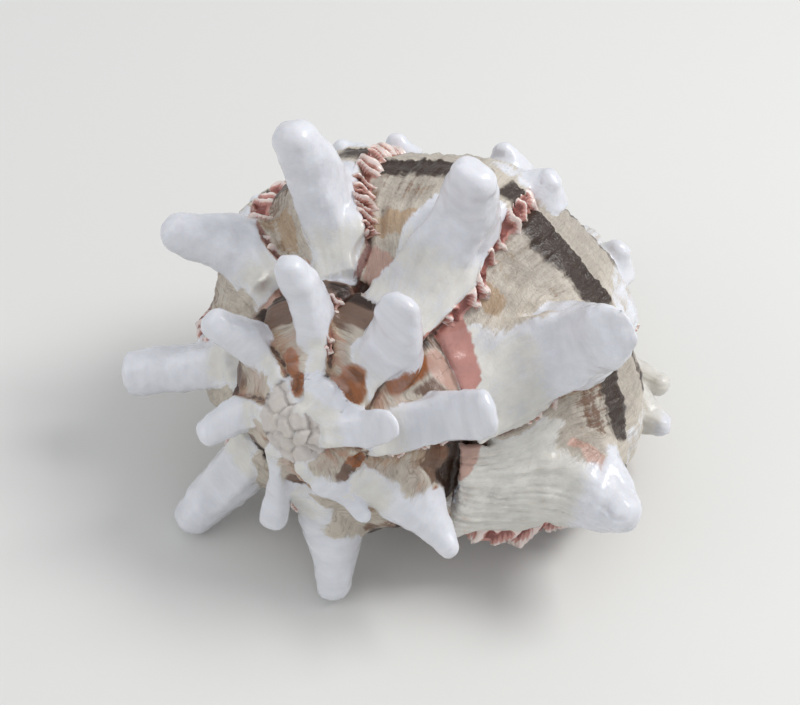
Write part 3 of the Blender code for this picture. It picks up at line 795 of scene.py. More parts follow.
def shell_fields(mesh, growth, tree):
    """Place on the spiral, distance to the varices and glaze of each point of a mesh in the shell frame."""
    points = mesh_points(mesh)
    seeds = np.array([tree.find(p)[1] for p in points])
    guess = np.array(growth.turns)[seeds]
    angle = np.degrees(np.arctan2(points[:, 1], points[:, 0])) - START_ANGLE
    spiral = angle + 360.0 * np.round((guess - angle) / 360.0)
    radius = whorl_radius(spiral)
    level = (-points[:, 2] - whorl_drop(spiral)) / radius
    rho = np.hypot(points[:, 0], points[:, 1]) / radius
    turn = spiral - slant(level)
    edges = mesh_edges(mesh)
    fields = {"turn": turn, "level": level, "rho": rho, "radius": radius}

    leads = np.stack([v.turn - lead_of(v, level) for v in VARICES], 1)
    crests = np.array([v.turn for v in VARICES], float)
    per_degree = radius * np.clip(rho, 0.6, 1.2) * math.pi / 180.0
    past = turn[:, None] - leads
    rows = np.arange(len(turn))
    fields["edge"] = past[rows, np.abs(past).argmin(1)] * per_degree
    older = np.clip((past >= 0.0).sum(1), 0, len(VARICES) - 1)
    younger = np.clip(older - 1, 0, len(VARICES) - 1)
    ends = [np.interp(level, LEAD_LEVELS, GLAZE_ENDS.get(v.turn, GLAZE_END)) for v in VARICES]
    plate_end = crests[younger] + np.stack(ends, 1)[rows, younger]
    fields["ahead"] = -past[rows, older] / np.maximum(leads[rows, older] - plate_end, 4.0)
    fields["stained"] = np.array([STAINS.get(v.turn, STAIN) for v in VARICES])[older]

    glaze = spread_out(np.array(growth.glaze)[seeds], edges, 4)
    on_varix = smoothstep(past[rows, younger] * per_degree, -0.3, 0.5)
    on_varix *= smoothstep(fields["ahead"], 0.80, 1.10)
    fields["front"] = 1.0 - smoothstep(turn - crests[younger], -1.0, 2.0)
    on_varix *= 1.0 - smoothstep(level, 0.06, 0.13) * (1.0 - 0.6 * smoothstep(level, 0.29, 0.34))
    on_varix = np.maximum(on_varix, smoothstep(turn, *TIP_TURNS))
    near_axis = 1.0 - smoothstep(rho, 0.80, 0.95)
    for layer, *spot in PATCHES:
        if layer == "rust":
            cell = blob(fields, *spot)
            on_varix *= 1.0 - cell
            glaze *= 1.0 - cell * near_axis
    outline = rounded(OUTLINE, 12)
    skin = np.interp(level, outline[:, 1], outline[:, 0]) * fullness(turn, level)
    inside = smoothstep(skin - rho, 0.05, 0.09) * smoothstep(level, -0.36, -0.28)
    fields["inside"] = inside * (turn < CAVITY_END)
    fields["parietal"] = smoothstep(turn, *PARIETAL_TURNS) * smoothstep(level, *PARIETAL_LEVELS)
    fields["last_plate"] = 1.0 - smoothstep(turn, *LAST_PLATE_TURNS)
    fields["last_plate"] *= 1.0 - smoothstep(rho, *LAST_PLATE_REACH)
    glaze = np.maximum(glaze, on_varix) * (1.0 - fields["parietal"]) * (1.0 - 0.35 * fields["last_plate"])
    for share, *spot in BARE_SPOTS:
        glaze *= 1.0 - share * blob(fields, *spot)
    fields["glaze"] = spread_out(glaze, edges, 3)
    return fields


def colour_layers(fields, mesh):
    """Strength of each colour layer at each point, before the noise of the material breaks it up."""
    turn, level, edge = fields["turn"], fields["level"], fields["edge"]
    edges = mesh_edges(mesh)
    spire = smoothstep(turn, *SPIRE_TURNS)
    lip = 1.0 - smoothstep(turn + lead_of(VARICES[0], level), -0.4, 0.6)
    stain = (1.0 - smoothstep(fields["ahead"], 0.15, 0.95)) * fields["stained"]
    outside = smoothstep(level, *OUTER_LEVELS)
    near_band = np.exp(-((level - 0.09) / 0.11) ** 2) * fields["stained"]
    foot, top = read_off(BAND_FOOT, turn), read_off(BAND_TOP, turn)
    band = smoothstep(level, foot, foot + BAND_SOFT) * (1.0 - smoothstep(level, top - 0.01, top + 0.01))
    for strength, rise, fall in LOWER_BANDS:
        band = np.maximum(band, strength * smoothstep(level, *rise) * (1.0 - smoothstep(level, *fall)))
    bare = 1.0 - smoothstep(fields["ahead"], 0.75, 1.15)
    reach = 1.0 - smoothstep(fields["ahead"], 0.95, 1.25)
    deep = spire * smoothstep(level, -0.12, 0.0) * (1.0 - outside)
    for layer, *spot in PATCHES:
        if layer in ("rust", "callus"):
            clear = 1.0 - 0.9 * blob(fields, *spot)
            deep, band = deep * clear, band * clear
    deep = np.maximum(deep, 1.4 * smoothstep(level, 0.30, 0.38) * spire)
    hidden = np.maximum(np.maximum(lip, fields["inside"]), fields["parietal"])
    layers = {
        "glaze": fields["glaze"] * (1.0 - lip),
        "plate": np.maximum(0.75 * fields["glaze"] * (1.0 - smoothstep(fields["rho"], 0.88, 1.12)),
                            1.3 * fields["glaze"] * fields["last_plate"]),
        # Real greyer patches, plus painted shade: the outside term greys the outer side of the whorls
        "ash_and_shade": bare * (0.6 + 0.2 * outside + 0.3 * near_band),
        "tan": np.maximum(0.60 * stain * (1.0 - 0.8 * outside), 0.45 * near_band * bare),
        "umber": np.maximum.reduce([0.50 * stain * (1.0 - outside), 0.80 * near_band * bare, 1.3 * deep]),
        "band": np.maximum(band * np.maximum(reach, 0.8 * fields["front"]), 0.44 * deep),
        "rust": 0.35 * stain * spire * (1.0 - outside),
        "coral": lip,
        "callus": 0.45 * spire * bare * (1.0 - smoothstep(level, -0.12, -0.02)),
        # Painted shade, partly the real dark red: a dark strip in the groove just in front of each leading
        # edge, under the teeth
        "wine_and_shade": smoothstep(edge, -2.2, -1.2) * (1.0 - smoothstep(edge, -0.2, 0.5)) * (1.0 - 0.5 * spire),
        "worn": smoothstep(turn, *PALE_TURNS),
        # Painted shade: the hollows of the surface are darkened, a little less on the first whorls
        "crevice_shade": crevices(mesh) * (1.0 - 0.25 * smoothstep(turn, *LESS_SHADE_TURNS)),
    }
    limit = read_off(RIBBON, turn)
    ribbon = 1.0 - smoothstep(fields["rho"], limit - 0.012, limit + 0.012)
    ribbon *= (level > RIBBON_LEVELS[0]) & (level < RIBBON_LEVELS[1]) & (turn < RIBBON_END)
    layers["ribbon"] = spread_out(ribbon, edges, 3)
    for layer, limit in CALLUS:
        top = read_off(limit, turn)
        strip = 1.0 - smoothstep(level, top - 0.016, top + 0.016)
        strip = spread_out(np.where(top > NO_CALLUS, strip * (1.0 - spire), 0.0), edges, 5)
        layers[layer] = np.maximum(layers[layer], strip)
    for layer, *spot in PATCHES:
        layers[layer] = np.maximum(layers[layer], blob(fields, *spot))
    for layer in ("ash_and_shade", "tan", "umber", "band", "rust", "wine_and_shade"):
        layers[layer] = layers[layer] * (1.0 - hidden)
    layers["callus"] = np.maximum(layers["callus"] * (1.0 - hidden), fields["parietal"])
    layers["glaze"] = np.maximum(layers["glaze"], fields["inside"] * (1.0 - lip))
    layers["sleek"] = np.maximum.reduce([layers["glaze"], layers["coral"], layers["rust"]])
    return layers


def crevices(mesh):
    """How hollow the surface is around each point, 0 to 1."""
    points = mesh_points(mesh)
    edges = mesh_edges(mesh)
    middle = np.stack([neighbour_mean(axis, edges) for axis in points.T], 1)
    length = np.linalg.norm(points[edges[:, 0]] - points[edges[:, 1]], axis=1)
    size = mean_over_edges(length, length, edges, len(points))
    hollow = ((middle - points) * mesh_normals(mesh)).sum(1) / np.maximum(size, 1e-6)
    return smoothstep(spread_out(hollow, edges, 3), 0.06, 0.20)


def noise_at(points, scales, seed):
    """Smooth noise of the given scales per millimetre at each point."""
    spots = points * np.array(scales) + seed
    return np.array([noise.noise(spot) for spot in spots.tolist()])


def along_growth(fields):
    """Place of each point along the whorl, down it and out from the axis, in millimetres."""
    radius = fields["radius"]
    arc = fields["turn"] * radius * math.pi / 180.0
    return np.stack([arc, fields["level"] * radius, fields["rho"] * radius], 1)


def surface_relief(fields, form, points):
    """Height to add to each point of the fused skin, in millimetres."""
    level = fields["level"]
    grain = along_growth(fields)
    bare = 1.0 - 0.72 * smoothstep(fields["glaze"], 0.3, 0.8) * smoothstep(fields["turn"], *SMOOTH_TURNS)
    horn = smoothstep(fields["rho"], 1.22, 1.35)
    wrinkle = noise_at(grain, (0.95, 0.06, 0.06), 7.3) + 0.6 * noise_at(grain, (2.1, 0.12, 0.12), 2.9)
    knots = noise_at(grain, (0.40, 0.9, 0.0), 11.7)
    relief = 2.2 * form.wrinkle / MM * wrinkle * bare * (1.0 - horn)
    relief += form.keel / MM * np.exp(-((level - KEEL_LEVEL) / 0.022) ** 2) * bare
    knot_row = np.exp(-((level - KNOT_LEVEL) / 0.05) ** 2)
    relief += 1.6 * form.keel / MM * np.maximum(knots, 0.0) * knot_row * bare
    relief -= form.groove / MM * np.exp(-((fields["edge"] + 0.9) / 0.6) ** 2) * (1.0 - fields["glaze"])
    relief += 2.0 * form.swell / MM * noise_at(points, (0.16, 0.16, 0.16), 5.1)
    relief += 0.7 * form.swell / MM * noise_at(points, (0.5, 0.5, 0.5), 9.4)
    worn = smoothstep(fields["turn"], *WORN_TURNS)
    relief += 1.6 * form.swell / MM * worn * noise_at(points, (0.42, 0.42, 0.42), 3.3)
    for index in np.nonzero(worn > 0.0)[0]:
        near, next_near = noise.voronoi(Vector(points[index] * 0.24))[0][:2]
        relief[index] -= form.crack / MM * worn[index] * math.exp(-((next_near - near) / 0.10) ** 2)
    return relief


def rest_turn():
    return np.array(Euler([math.radians(a) for a in REST_ANGLES]).to_matrix())


def to_frame(points, offset):
    """Shell-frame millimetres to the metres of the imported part."""
    return points @ rest_turn().T * MM - offset


def set_points(mesh, points):
    mesh.vertices.foreach_set("co", np.ascontiguousarray(points, np.float32).ravel())
    mesh.update()


def grown_shell(form):
    """The whole shell as one skin, still in the shell frame, and the growth it came from."""
    growth = Growth()
    grow_whorls(growth)
    grow_horns(growth)
    grow_lower_spines(growth)
    grow_canals(growth)
    grow_apex(growth)
    tree = KDTree(len(growth.points))
    for index, point in enumerate(growth.points):
        tree.insert(point, index)
    tree.balance()
    grain = form.grain / MM * 1.0
    shell = joined("murex_shell", growth.solids)
    fused(shell, grain, 1)
    cutters = [cavity(), canal_slot()]
    for cutter in cutters:
        cut = shell.modifiers.new(cutter.name, "BOOLEAN")
        cut.operation = "DIFFERENCE"
        cut.solver = "MANIFOLD"
        cut.object = cutter
    applied(shell)
    for cutter in cutters:
        bpy.data.objects.remove(cutter)
    fused(shell, grain, 2)
    keep_largest(shell.data)
    fields = shell_fields(shell.data, growth, tree)
    points = mesh_points(shell.data)
    relief = surface_relief(fields, form, points)
    set_points(shell.data, points + mesh_normals(shell.data) * relief[:, None])
    thin = shell.modifiers.new("thin", "DECIMATE")
    thin.ratio = min(1.0, form.triangles / sum(len(f.vertices) - 2 for f in shell.data.polygons))
    applied(shell)
    return shell, growth, tree


def keep_layer(mesh, name, values):
    """Keep a value or a vector of each point with the mesh, for its material."""
    kind, key = ("FLOAT", "value") if values.ndim == 1 else ("FLOAT_VECTOR", "vector")
    layer = mesh.attributes.new(name, kind, "POINT")
    layer.data.foreach_set(key, values.astype(np.float32).ravel())


def add(tree, kind, links=None, **settings):
    """Add a node with its settings, and link or set its inputs."""
    item = tree.nodes.new(kind)
    for name, value in settings.items():
        setattr(item, name, value)
    for key, value in (links or {}).items():
        if isinstance(value, bpy.types.NodeSocket):
            tree.links.new(value, item.inputs[key])
        else:
            item.inputs[key].default_value = value
    return item


# Sockets of the colour form of the Mix node
MIX_SHARE, MIX_LOW, MIX_HIGH, MIX_RESULT = 0, 6, 7, 2

# Noise of the shell's colours: changes per millimetre along the whorl, down it and out from the axis,
# and detail
PATTERNS = {
    "streak": ((1.5, 0.10, 0.10), 4.0),      # growth lines 0.7 mm wide and 10 mm long
    "spiral": ((0.14, 0.80, 0.30), 3.0),     # stains drawn out along the whorl
    "blotch": ((0.26, 0.26, 0.26), 4.0),     # patches 4 mm across
    "speck": ((1.9, 1.9, 1.9), 2.0),         # grains half a millimetre across
}
THREADS = (2.6, 0.13, 0.13)      # dark threads 0.4 mm apart
TEETH_BLOTCH = 320.0             # blotches of the teeth, 3 mm across, per metre
# Colour layers from the ground up: attribute, share of each pattern that breaks up its border, the two
# levels between which it fades in, colour, roughness and strength
SHELL_LAYERS = (
    ("ash_and_shade", (0.5, 0.8, 1.6, 0.5), 0.35, 0.95, "ash_and_shade", 0.55, 0.75),
    ("tan", (0.9, 1.3, 1.0, 0.3), 0.28, 0.72, "tan", 0.42, 0.70),
    ("umber", (1.5, 0.9, 1.2, 0.4), 0.42, 0.92, "umber", 0.38, 0.85),
    ("rust", (0.5, 0.4, 0.9, 0.2), 0.30, 0.80, "rust", 0.14, 0.95),
    ("rust", (1.8, 0.8, 1.6, 0.5), 0.75, 1.15, "umber", 0.16, 0.70),
    ("callus", (0.4, 0.3, 0.5, 0.0), 0.35, 0.70, "callus", 0.30, 0.85),
    ("band", (0.4, 0.6, 0.6, 0.1), 0.36, 0.78, "soot", 0.34, 0.985),
    ("wine_and_shade", (0.6, 0.2, 0.5, 0.0), 0.35, 0.80, "wine_and_shade", 0.30, 0.75),
    ("glaze", (0.8, 0.1, 0.9, 0.2), 0.36, 0.66, "enamel", 0.24, 0.94),
    ("plate", (0.5, 0.2, 0.8, 0.3), 0.30, 0.85, "plate", 0.30, 0.85),
    ("coral", (0.0, 0.1, 0.2, 0.0), 0.38, 0.58, "coral", 0.22, 0.88),
    ("ribbon", (0.2, 0.1, 0.5, 0.0), 0.35, 0.65, "callus", 0.30, 0.90),
    ("worn", (0.2, 0.2, 0.9, 0.6), 0.30, 0.80, "nucleus", 0.45, 0.85),
    # The last layer paints shade into the hollows of the surface
    ("crevice_shade", (0.4, 0.3, 0.8, 0.5), 0.45, 1.00, "crevice_shade", 0.60, 0.70),
)


def rgba(values):
    return (*values, 1.0)


def shell_material(colours):
    """Aragonite shell, glazed by the animal on the varices and left chalky and stained between them.

    The glaze reads as wet white porcelain, the chalk as dull cream with brown streaks along the
    growth lines. Painted shade darkens the hollows, and faintly the outer side of the whorls.
    """
    material = bpy.data.materials.new("aragonite_shell_glazed_and_chalky")
    material.use_nodes = True
    tree = material.node_tree
    surface = tree.nodes["Principled BSDF"]
    grain = add(tree, "ShaderNodeAttribute", attribute_name="grain").outputs["Vector"]
    noises = {}
    offsets = []
    for name, (scales, detail) in PATTERNS.items():
        spread = add(tree, "ShaderNodeMapping", {"Vector": grain, "Scale": scales}).outputs["Vector"]
        noises[name] = add(tree, "ShaderNodeTexNoise", {"Vector": spread, "Scale": 1.0, "Detail": detail,
                                                        "Roughness": 0.6}).outputs["Fac"]
        centred = add(tree, "ShaderNodeMath", {0: noises[name], 1: 0.5}, operation="SUBTRACT")
        offsets.append(centred.outputs[0])
    base = rgba(colours.cream)
    rough = add(tree, "ShaderNodeMapRange", {"Value": noises["speck"], "To Min": 0.40,
                                             "To Max": 0.62}).outputs["Result"]
    for name, shares, low, high, tint, gloss, strength in SHELL_LAYERS:
        torn = add(tree, "ShaderNodeAttribute", attribute_name=name).outputs["Fac"]
        for offset, share in zip(offsets, shares):
            torn = add(tree, "ShaderNodeMath", {0: offset, 1: share, 2: torn},
                       operation="MULTIPLY_ADD").outputs[0]
        mask = add(tree, "ShaderNodeMapRange", {"Value": torn, "From Min": low, "From Max": high,
                                                "To Max": strength},
                   interpolation_type="SMOOTHSTEP").outputs["Result"]
        base = add(tree, "ShaderNodeMix", {MIX_SHARE: mask, MIX_LOW: base,
                                           MIX_HIGH: rgba(getattr(colours, tint))},
                   data_type="RGBA").outputs[MIX_RESULT]
        rough = add(tree, "ShaderNodeMix", {MIX_SHARE: mask, 2: rough, 3: gloss}).outputs[0]

    # Thin dark growth lines wherever the fine streaks cross their middle value
    line = add(tree, "ShaderNodeMapping", {"Vector": grain, "Scale": THREADS}).outputs["Vector"]
    line = add(tree, "ShaderNodeTexNoise", {"Vector": line, "Scale": 1.0, "Detail": 2.0}).outputs["Fac"]
    line = add(tree, "ShaderNodeMath", {0: line, 1: 0.5}, operation="SUBTRACT").outputs[0]
    line = add(tree, "ShaderNodeMath", {0: line}, operation="ABSOLUTE").outputs[0]
    glazed = add(tree, "ShaderNodeAttribute", attribute_name="sleek").outputs["Fac"]
    faint = add(tree, "ShaderNodeMapRange", {"Value": glazed, "From Min": 0.3, "From Max": 0.8,
                                             "To Min": 0.45, "To Max": 0.0}).outputs["Result"]
    line = add(tree, "ShaderNodeMapRange", {"Value": line, "From Min": 0.0, "From Max": 0.022,
                                            "To Min": faint, "To Max": 0.0}).outputs["Result"]
    base = add(tree, "ShaderNodeMix", {MIX_SHARE: line, MIX_LOW: base, MIX_HIGH: rgba(colours.thread)},
               data_type="RGBA").outputs[MIX_RESULT]
    shade = add(tree, "ShaderNodeMapRange", {"Value": noises["blotch"], "From Min": 0.3, "From Max": 0.7,
                                             "To Min": 0.88, "To Max": 1.06}).outputs["Result"]
    tone = add(tree, "ShaderNodeHueSaturation", {"Color": base, "Value": shade}).outputs["Color"]

    height = add(tree, "ShaderNodeMath", {0: noises["streak"], 1: 0.7, 2: noises["speck"]},
                 operation="MULTIPLY_ADD").outputs[0]
    depth = add(tree, "ShaderNodeMapRange", {"Value": glazed, "From Min": 0.3, "From Max": 0.7,
                                             "To Min": 0.60, "To Max": 0.16}).outputs["Result"]
    bump = add(tree, "ShaderNodeBump", {"Strength": depth, "Distance": 0.0004, "Height": height})
    for name, socket in (("Base Color", tone), ("Roughness", rough), ("Normal", bump.outputs["Normal"])):
        tree.links.new(socket, surface.inputs[name])
    surface.inputs["IOR"].default_value = 1.50
    surface.inputs["Subsurface Weight"].default_value = 0.12
    surface.inputs["Subsurface Radius"].default_value = (1.0, 0.7, 0.5)
    surface.inputs["Subsurface Scale"].default_value = 0.0015
    surface.inputs["Coat Weight"].default_value = 0.06
    surface.inputs["Coat Roughness"].default_value = 0.12
    return material


def teeth_material(colours):
    """Glazed aragonite of the small teeth: white on their backs, pink in the folds, with painted shade in
    dark red and umber deep in the folds and under them.
    """
    material = bpy.data.materials.new("aragonite_teeth_glazed")
    material.use_nodes = True
    tree = material.node_tree
    surface = tree.nodes["Principled BSDF"]
    crest = add(tree, "ShaderNodeAttribute", attribute_name="crest").outputs["Fac"]
    blush = add(tree, "ShaderNodeAttribute", attribute_name="blush").outputs["Fac"]
    place_at = add(tree, "ShaderNodeTexCoord").outputs["Object"]
    patch = add(tree, "ShaderNodeTexNoise", {"Vector": place_at, "Scale": TEETH_BLOTCH,
                                             "Detail": 3.0}).outputs["Fac"]
    lift = add(tree, "ShaderNodeMath", {0: patch, 1: 0.5, 2: crest}, operation="MULTIPLY_ADD").outputs[0]
    # Painted shade, partly the real colour of the lip: the folds and the undersides of the teeth fade to
    # dark umber or dark red
    deep = add(tree, "ShaderNodeMix", {MIX_SHARE: blush, MIX_LOW: rgba(colours.umber),
                                       MIX_HIGH: rgba(colours.wine_and_shade)}, data_type="RGBA").outputs[MIX_RESULT]
    pale = add(tree, "ShaderNodeMix", {MIX_SHARE: blush, MIX_LOW: rgba(colours.callus),
                                       MIX_HIGH: rgba(colours.rose)}, data_type="RGBA").outputs[MIX_RESULT]
    rise = add(tree, "ShaderNodeMapRange", {"Value": lift, "From Min": 0.16, "From Max": 0.62},
               interpolation_type="SMOOTHSTEP").outputs["Result"]
    fold = add(tree, "ShaderNodeMix", {MIX_SHARE: rise, MIX_LOW: deep, MIX_HIGH: pale},
               data_type="RGBA").outputs[MIX_RESULT]
    top = add(tree, "ShaderNodeMapRange", {"Value": lift, "From Min": 0.70, "From Max": 1.10},
              interpolation_type="SMOOTHSTEP").outputs["Result"]
    tint = add(tree, "ShaderNodeMix", {MIX_SHARE: top, MIX_LOW: fold, MIX_HIGH: rgba(colours.blossom)},
               data_type="RGBA").outputs[MIX_RESULT]
    tree.links.new(tint, surface.inputs["Base Color"])
    bump = add(tree, "ShaderNodeBump", {"Strength": 0.2, "Distance": 0.0002, "Height": patch})
    tree.links.new(bump.outputs["Normal"], surface.inputs["Normal"])
    surface.inputs["Roughness"].default_value = 0.26
    surface.inputs["IOR"].default_value = 1.56
    surface.inputs["Subsurface Weight"].default_value = 0.12
    surface.inputs["Subsurface Scale"].default_value = 0.0015
    return material


# Toothed edges: varix row, first and last level, tooth spacing, reach and lean in mm at the lip's size,
# how pink the hollows are, how strong the small ribs between the teeth are, and the rise to the rim
EDGES = (
    (0, -0.36, 0.50, 5.6, 5.6, 2.4, 0.90, 0.30, 0.8), (1, -0.30, 0.95, 3.4, 1.5, 0.6, 0.15, 0.40, 0.0),
    (2, -0.34, 0.95, 5.2, 4.4, 0.8, 0.85, 0.30, 0.0), (3, -0.20, 0.95, 4.2, 4.4, 1.6, 0.45, 0.75, 0.0),
    (4, -0.26, 0.95, 4.2, 4.6, 1.0, 0.95, 0.40, 0.0), (5, -0.25, 0.90, 4.0, 3.2, 1.0, 0.60, 0.50, 0.0),
    (6, -0.25, 0.80, 4.0, 3.2, 1.0, 0.60, 0.50, 0.0), (7, -0.25, 0.70, 4.0, 3.0, 1.0, 0.50, 0.50, 0.0),
    (8, -0.30, 0.20, 3.6, 2.0, 0.8, 0.30, 0.50, 0.0), (9, -0.30, 0.15, 4.0, 2.4, 0.8, 0.15, 0.40, 0.0),
    (11, -0.25, 0.20, 4.6, 3.0, 0.8, 0.30, 0.20, 0.0),
)
ACROSS = np.array((0.0, 0.06, 0.13, 0.22, 0.32, 0.43, 0.54, 0.66, 0.78, 0.89, 1.0))


def edge_points(varix, level, ahead, height):
    """Points near the leading edge of a varix: mm in front of it, and height in crest heights."""
    outline = rounded(OUTLINE, 12)
    normals = outline_normals(outline)
    rho, out, along = (np.interp(level, outline[:, 1], v) for v in (outline[:, 0], *normals.T))
    radius = float(whorl_radius(varix.turn))
    turn = varix.turn - lead_of(varix, level) - np.degrees(ahead / (radius * np.clip(rho, 0.6, 1.2)))
    rise = height * crest_height(level) * 0.8 + 0.003
    return growth_line(turn, np.stack([rho, level], 1), np.stack([out, along], 1), rise)


def edge_run(varix, first, last):
    """Levels along a leading edge and the distance run to each of them, in millimetres."""
    level = np.linspace(first, last, 600)
    line = edge_points(varix, level, np.zeros(600), np.ones(600))
    steps = np.linalg.norm(np.diff(line, axis=0), axis=1)
    return level, np.concatenate([[0.0], np.cumsum(steps)])


def ridge(place_at, centres, sizes, width):
    """Tallest of a row of rounded ridges at each place."""
    bumps = [size * np.exp(-((place_at - centre) / width) ** 2) for centre, size in zip(centres, sizes)]
    return np.max(bumps, axis=0)


def flange(varix, first, last, pitch, reach, lean, ribs, rim):
    """Scalloped edge with teeth across it: closed sections along it, and the whiteness of each point."""
    level, run = edge_run(varix, first, last)
    along, across = np.meshgrid(np.arange(0.0, run[-1], 0.22), ACROSS, indexing="ij")
    order = np.arange(-1, int(run[-1] / pitch) + 2)
    teeth_at = (order + 0.5 + 0.20 * np.sin(2.7 * order + varix.turn)) * pitch
    sizes = 0.86 + 0.26 * np.sin(4.1 * order + 0.3 * varix.turn)
    spot = along + lean * across + 0.12 * pitch * np.sin(9.0 * across + 2.0 * along / pitch)
    tooth = ridge(spot, teeth_at, sizes, 0.15 * pitch)
    rib = ridge(spot, teeth_at + 0.48 * pitch, ribs * sizes[::-1], 0.10 * pitch)
    high = np.maximum(tooth, rib)
    fade = smoothstep(along, 0.0, 2.0) * (1.0 - smoothstep(along, run[-1] - 2.0, run[-1]))
    ahead = -0.9 + (0.9 + reach * (0.55 + 0.45 * np.minimum(high, 1.0)) * fade) * across
    height = 0.96 - across ** (0.50 + 2.4 * high) + 0.30 * high * np.sin(math.pi * across ** 0.6)
    height += rim * across
    height = height * fade - 0.3 * (1.0 - fade)
    back = np.array((1.0, 0.5, 0.0))
    under_ahead = -0.9 + (ahead[:, -1:] + 0.9) * back
    under_height = np.broadcast_to((-0.45, -0.5, -0.3), under_ahead.shape)
    ahead = np.hstack([ahead, under_ahead])
    height = np.hstack([height, under_height])
    levels = np.interp(np.broadcast_to(along[:, :1], ahead.shape), run, level)
    points = edge_points(varix, levels.ravel(), ahead.ravel(), height.ravel())
    white = np.maximum(smoothstep(high, 0.25, 0.70), 0.55 * smoothstep(across, 0.80, 0.95))
    white = np.maximum(white, 1.0 - smoothstep(across, 0.05, 0.20))
    # The undersides get no white, so their material paints them in the dark shade colour
    white = np.hstack([white, np.zeros_like(under_ahead)])
    return list(points.reshape(*ahead.shape, 3)), white


def teeth_mesh():
    """All toothed edges as closed bands in one mesh, with the whiteness and the pink of each point."""
    points, faces, crest, blush = [], [], [], []
    first_point = 0
    for row, first, last, pitch, reach, lean, pink, ribs, rim in EDGES:
        varix = VARICES[row]
        small = 0.35 + 0.65 * float(whorl_radius(varix.turn)) / LIP_RADIUS
        rings, white = flange(varix, first, last, pitch * small, reach * small, lean * small, ribs, rim)
        ring_points, ring_faces = lofted(rings, first_point)
        first_point += len(ring_points)
        points.append(ring_points)
        faces.extend(ring_faces)
        crest.append(white.ravel())
        blush.append(np.full(len(ring_points), pink))
    shape = new_mesh("varix_teeth", np.concatenate(points), faces)
    keep_layer(shape.data, "crest", np.concatenate(crest))
    keep_layer(shape.data, "blush", np.concatenate(blush))
    return shape


def settle(piece, material):
    """Ride the piece on the one body, in place of the plain solid."""
    piece.data.materials.clear()
    piece.data.materials.append(material)
    piece.data.shade_smooth()
    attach(piece, "root")
    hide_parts("shell")


def frame_offset(points):
    """Shift that puts laid-down points, in metres, with their base centre at the origin."""
    low, high = points.min(0), points.max(0)
    return np.array([(low[0] + high[0]) / 2, (low[1] + high[1]) / 2, low[2]])


def held_in_frame(points):
    """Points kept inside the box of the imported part."""
    return np.clip(points, np.array(CAD_LOW), np.array(CAD_HIGH))


class MUREX_OT_shell(bpy.types.Operator):
    """Grow the whorls, horns and plates as one skin and colour it"""

    bl_idname = "murex.shell"
    bl_label = "Grow shell"

    def execute(self, context):
        form = context.scene.murex_form
        shell, growth, tree = grown_shell(form)
        fields = shell_fields(shell.data, growth, tree)
        for name, values in colour_layers(fields, shell.data).items():
            keep_layer(shell.data, name, values)
        keep_layer(shell.data, "grain", along_growth(fields))
        laid = to_frame(mesh_points(shell.data), np.zeros(3))
        offset = frame_offset(laid)
        set_points(shell.data, held_in_frame(laid - offset))
        context.scene["murex_offset"] = offset.tolist()
        settle(shell, shell_material(context.scene.murex_colours))
        return {"FINISHED"}


class MUREX_OT_teeth(bpy.types.Operator):
    """Fold the toothed edges of the varices"""

    bl_idname = "murex.teeth"
    bl_label = "Fold teeth"

    def execute(self, context):
        teeth = teeth_mesh()
        points = to_frame(mesh_points(teeth.data), np.array(context.scene["murex_offset"]))
        set_points(teeth.data, held_in_frame(points))
        settle(teeth, teeth_material(context.scene.murex_colours))
        return {"FINISHED"}


def floor_material(colours):
    """Matt painted board: a pale ground with no pattern of its own."""
    material = bpy.data.materials.new("matt_painted_board")
    material.use_nodes = True
    surface = material.node_tree.nodes["Principled BSDF"]
    surface.inputs["Base Color"].default_value = rgba(colours.floor)
    surface.inputs["Roughness"].default_value = 0.8
    return material


def area_light(name, power, size, place_at, target):
    lamp = bpy.data.lights.new(name, "AREA")
    lamp.energy = power
    lamp.size = size
    holder = bpy.data.objects.new(name, lamp)
    holder.location = place_at
    holder.rotation_euler = (Vector(place_at) - Vector(target)).to_track_quat("Z", "Y").to_euler()
    bpy.context.scene.collection.objects.link(holder)


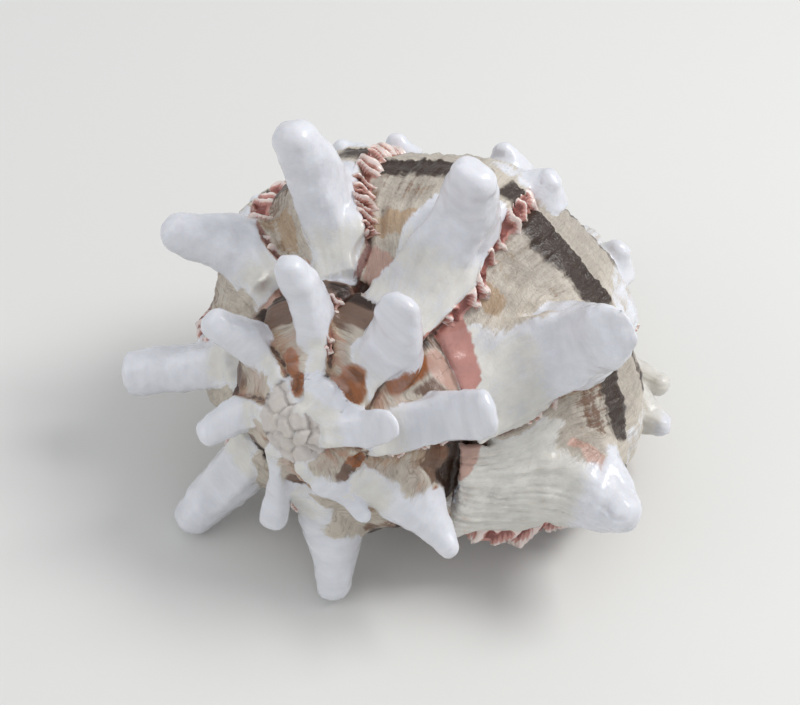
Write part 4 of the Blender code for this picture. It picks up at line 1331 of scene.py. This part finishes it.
class MUREX_OT_stage(bpy.types.Operator):
    """Set the floor, the soft studio light and the camera"""

    bl_idname = "murex.stage"
    bl_label = "Set stage"

    def execute(self, context):
        scene = context.scene
        stage = scene.murex_stage
        corners = [(x * FLOOR_HALF, y * FLOOR_HALF, 0) for x, y in ((-1, -1), (1, -1), (1, 1), (-1, 1))]
        floor = new_mesh("floor", corners, [(0, 1, 2, 3)])
        floor.data.materials.append(floor_material(scene.murex_colours))
        area_light("key", stage.key, KEY_SIZE, KEY_PLACE, LIT_SPOT)
        area_light("fill", stage.fill, FILL_SIZE, FILL_PLACE, LIT_SPOT)
        world = bpy.data.worlds.new("studio")
        world.use_nodes = True
        room = world.node_tree.nodes["Background"]
        room.inputs["Color"].default_value = rgba(ROOM_COLOUR)
        room.inputs["Strength"].default_value = stage.sky
        scene.world = world
        scene.view_settings.view_transform = "Standard"
        lens = bpy.data.cameras.new("camera")
        lens.lens = stage.lens
        lens.sensor_width = 36.0
        lens.clip_start = 0.01
        camera = bpy.data.objects.new("camera", lens)
        turn = Matrix.Rotation(math.radians(CAMERA_TILT), 4, "X")
        turn = turn @ Matrix.Rotation(math.radians(CAMERA_ROLL), 4, "Z")
        camera.matrix_world = Matrix.Translation(CAMERA_PLACE) @ turn
        scene.collection.objects.link(camera)
        scene.camera = camera
        return {"FINISHED"}


class MUREX_PT_panel(bpy.types.Panel):
    """Murex shell"""

    bl_label = "Murex shell"
    bl_idname = "MUREX_PT_panel"
    bl_space_type = "VIEW_3D"
    bl_region_type = "UI"
    bl_category = "Murex"

    def draw(self, context):
        scene = context.scene
        for group in (scene.murex_form, scene.murex_colours, scene.murex_stage):
            box = self.layout.box()
            for name in group.__annotations__:
                box.prop(group, name)
        for operator in (MUREX_OT_shell, MUREX_OT_teeth, MUREX_OT_stage):
            self.layout.operator(operator.bl_idname)


CLASSES = (
    MurexForm, MurexColours, MurexStage, MUREX_OT_shell, MUREX_OT_teeth, MUREX_OT_stage, MUREX_PT_panel,
)


def register():
    for item in CLASSES:
        bpy.utils.register_class(item)
    bpy.types.Scene.murex_form = PointerProperty(type=MurexForm)
    bpy.types.Scene.murex_colours = PointerProperty(type=MurexColours)
    bpy.types.Scene.murex_stage = PointerProperty(type=MurexStage)


def unregister():
    del bpy.types.Scene.murex_stage
    del bpy.types.Scene.murex_colours
    del bpy.types.Scene.murex_form
    for item in reversed(CLASSES):
        bpy.utils.unregister_class(item)


def main():
    register()
    bpy.ops.murex.stage()
    bpy.ops.murex.shell()
    bpy.ops.murex.teeth()


if __name__ == "__main__":
    main()
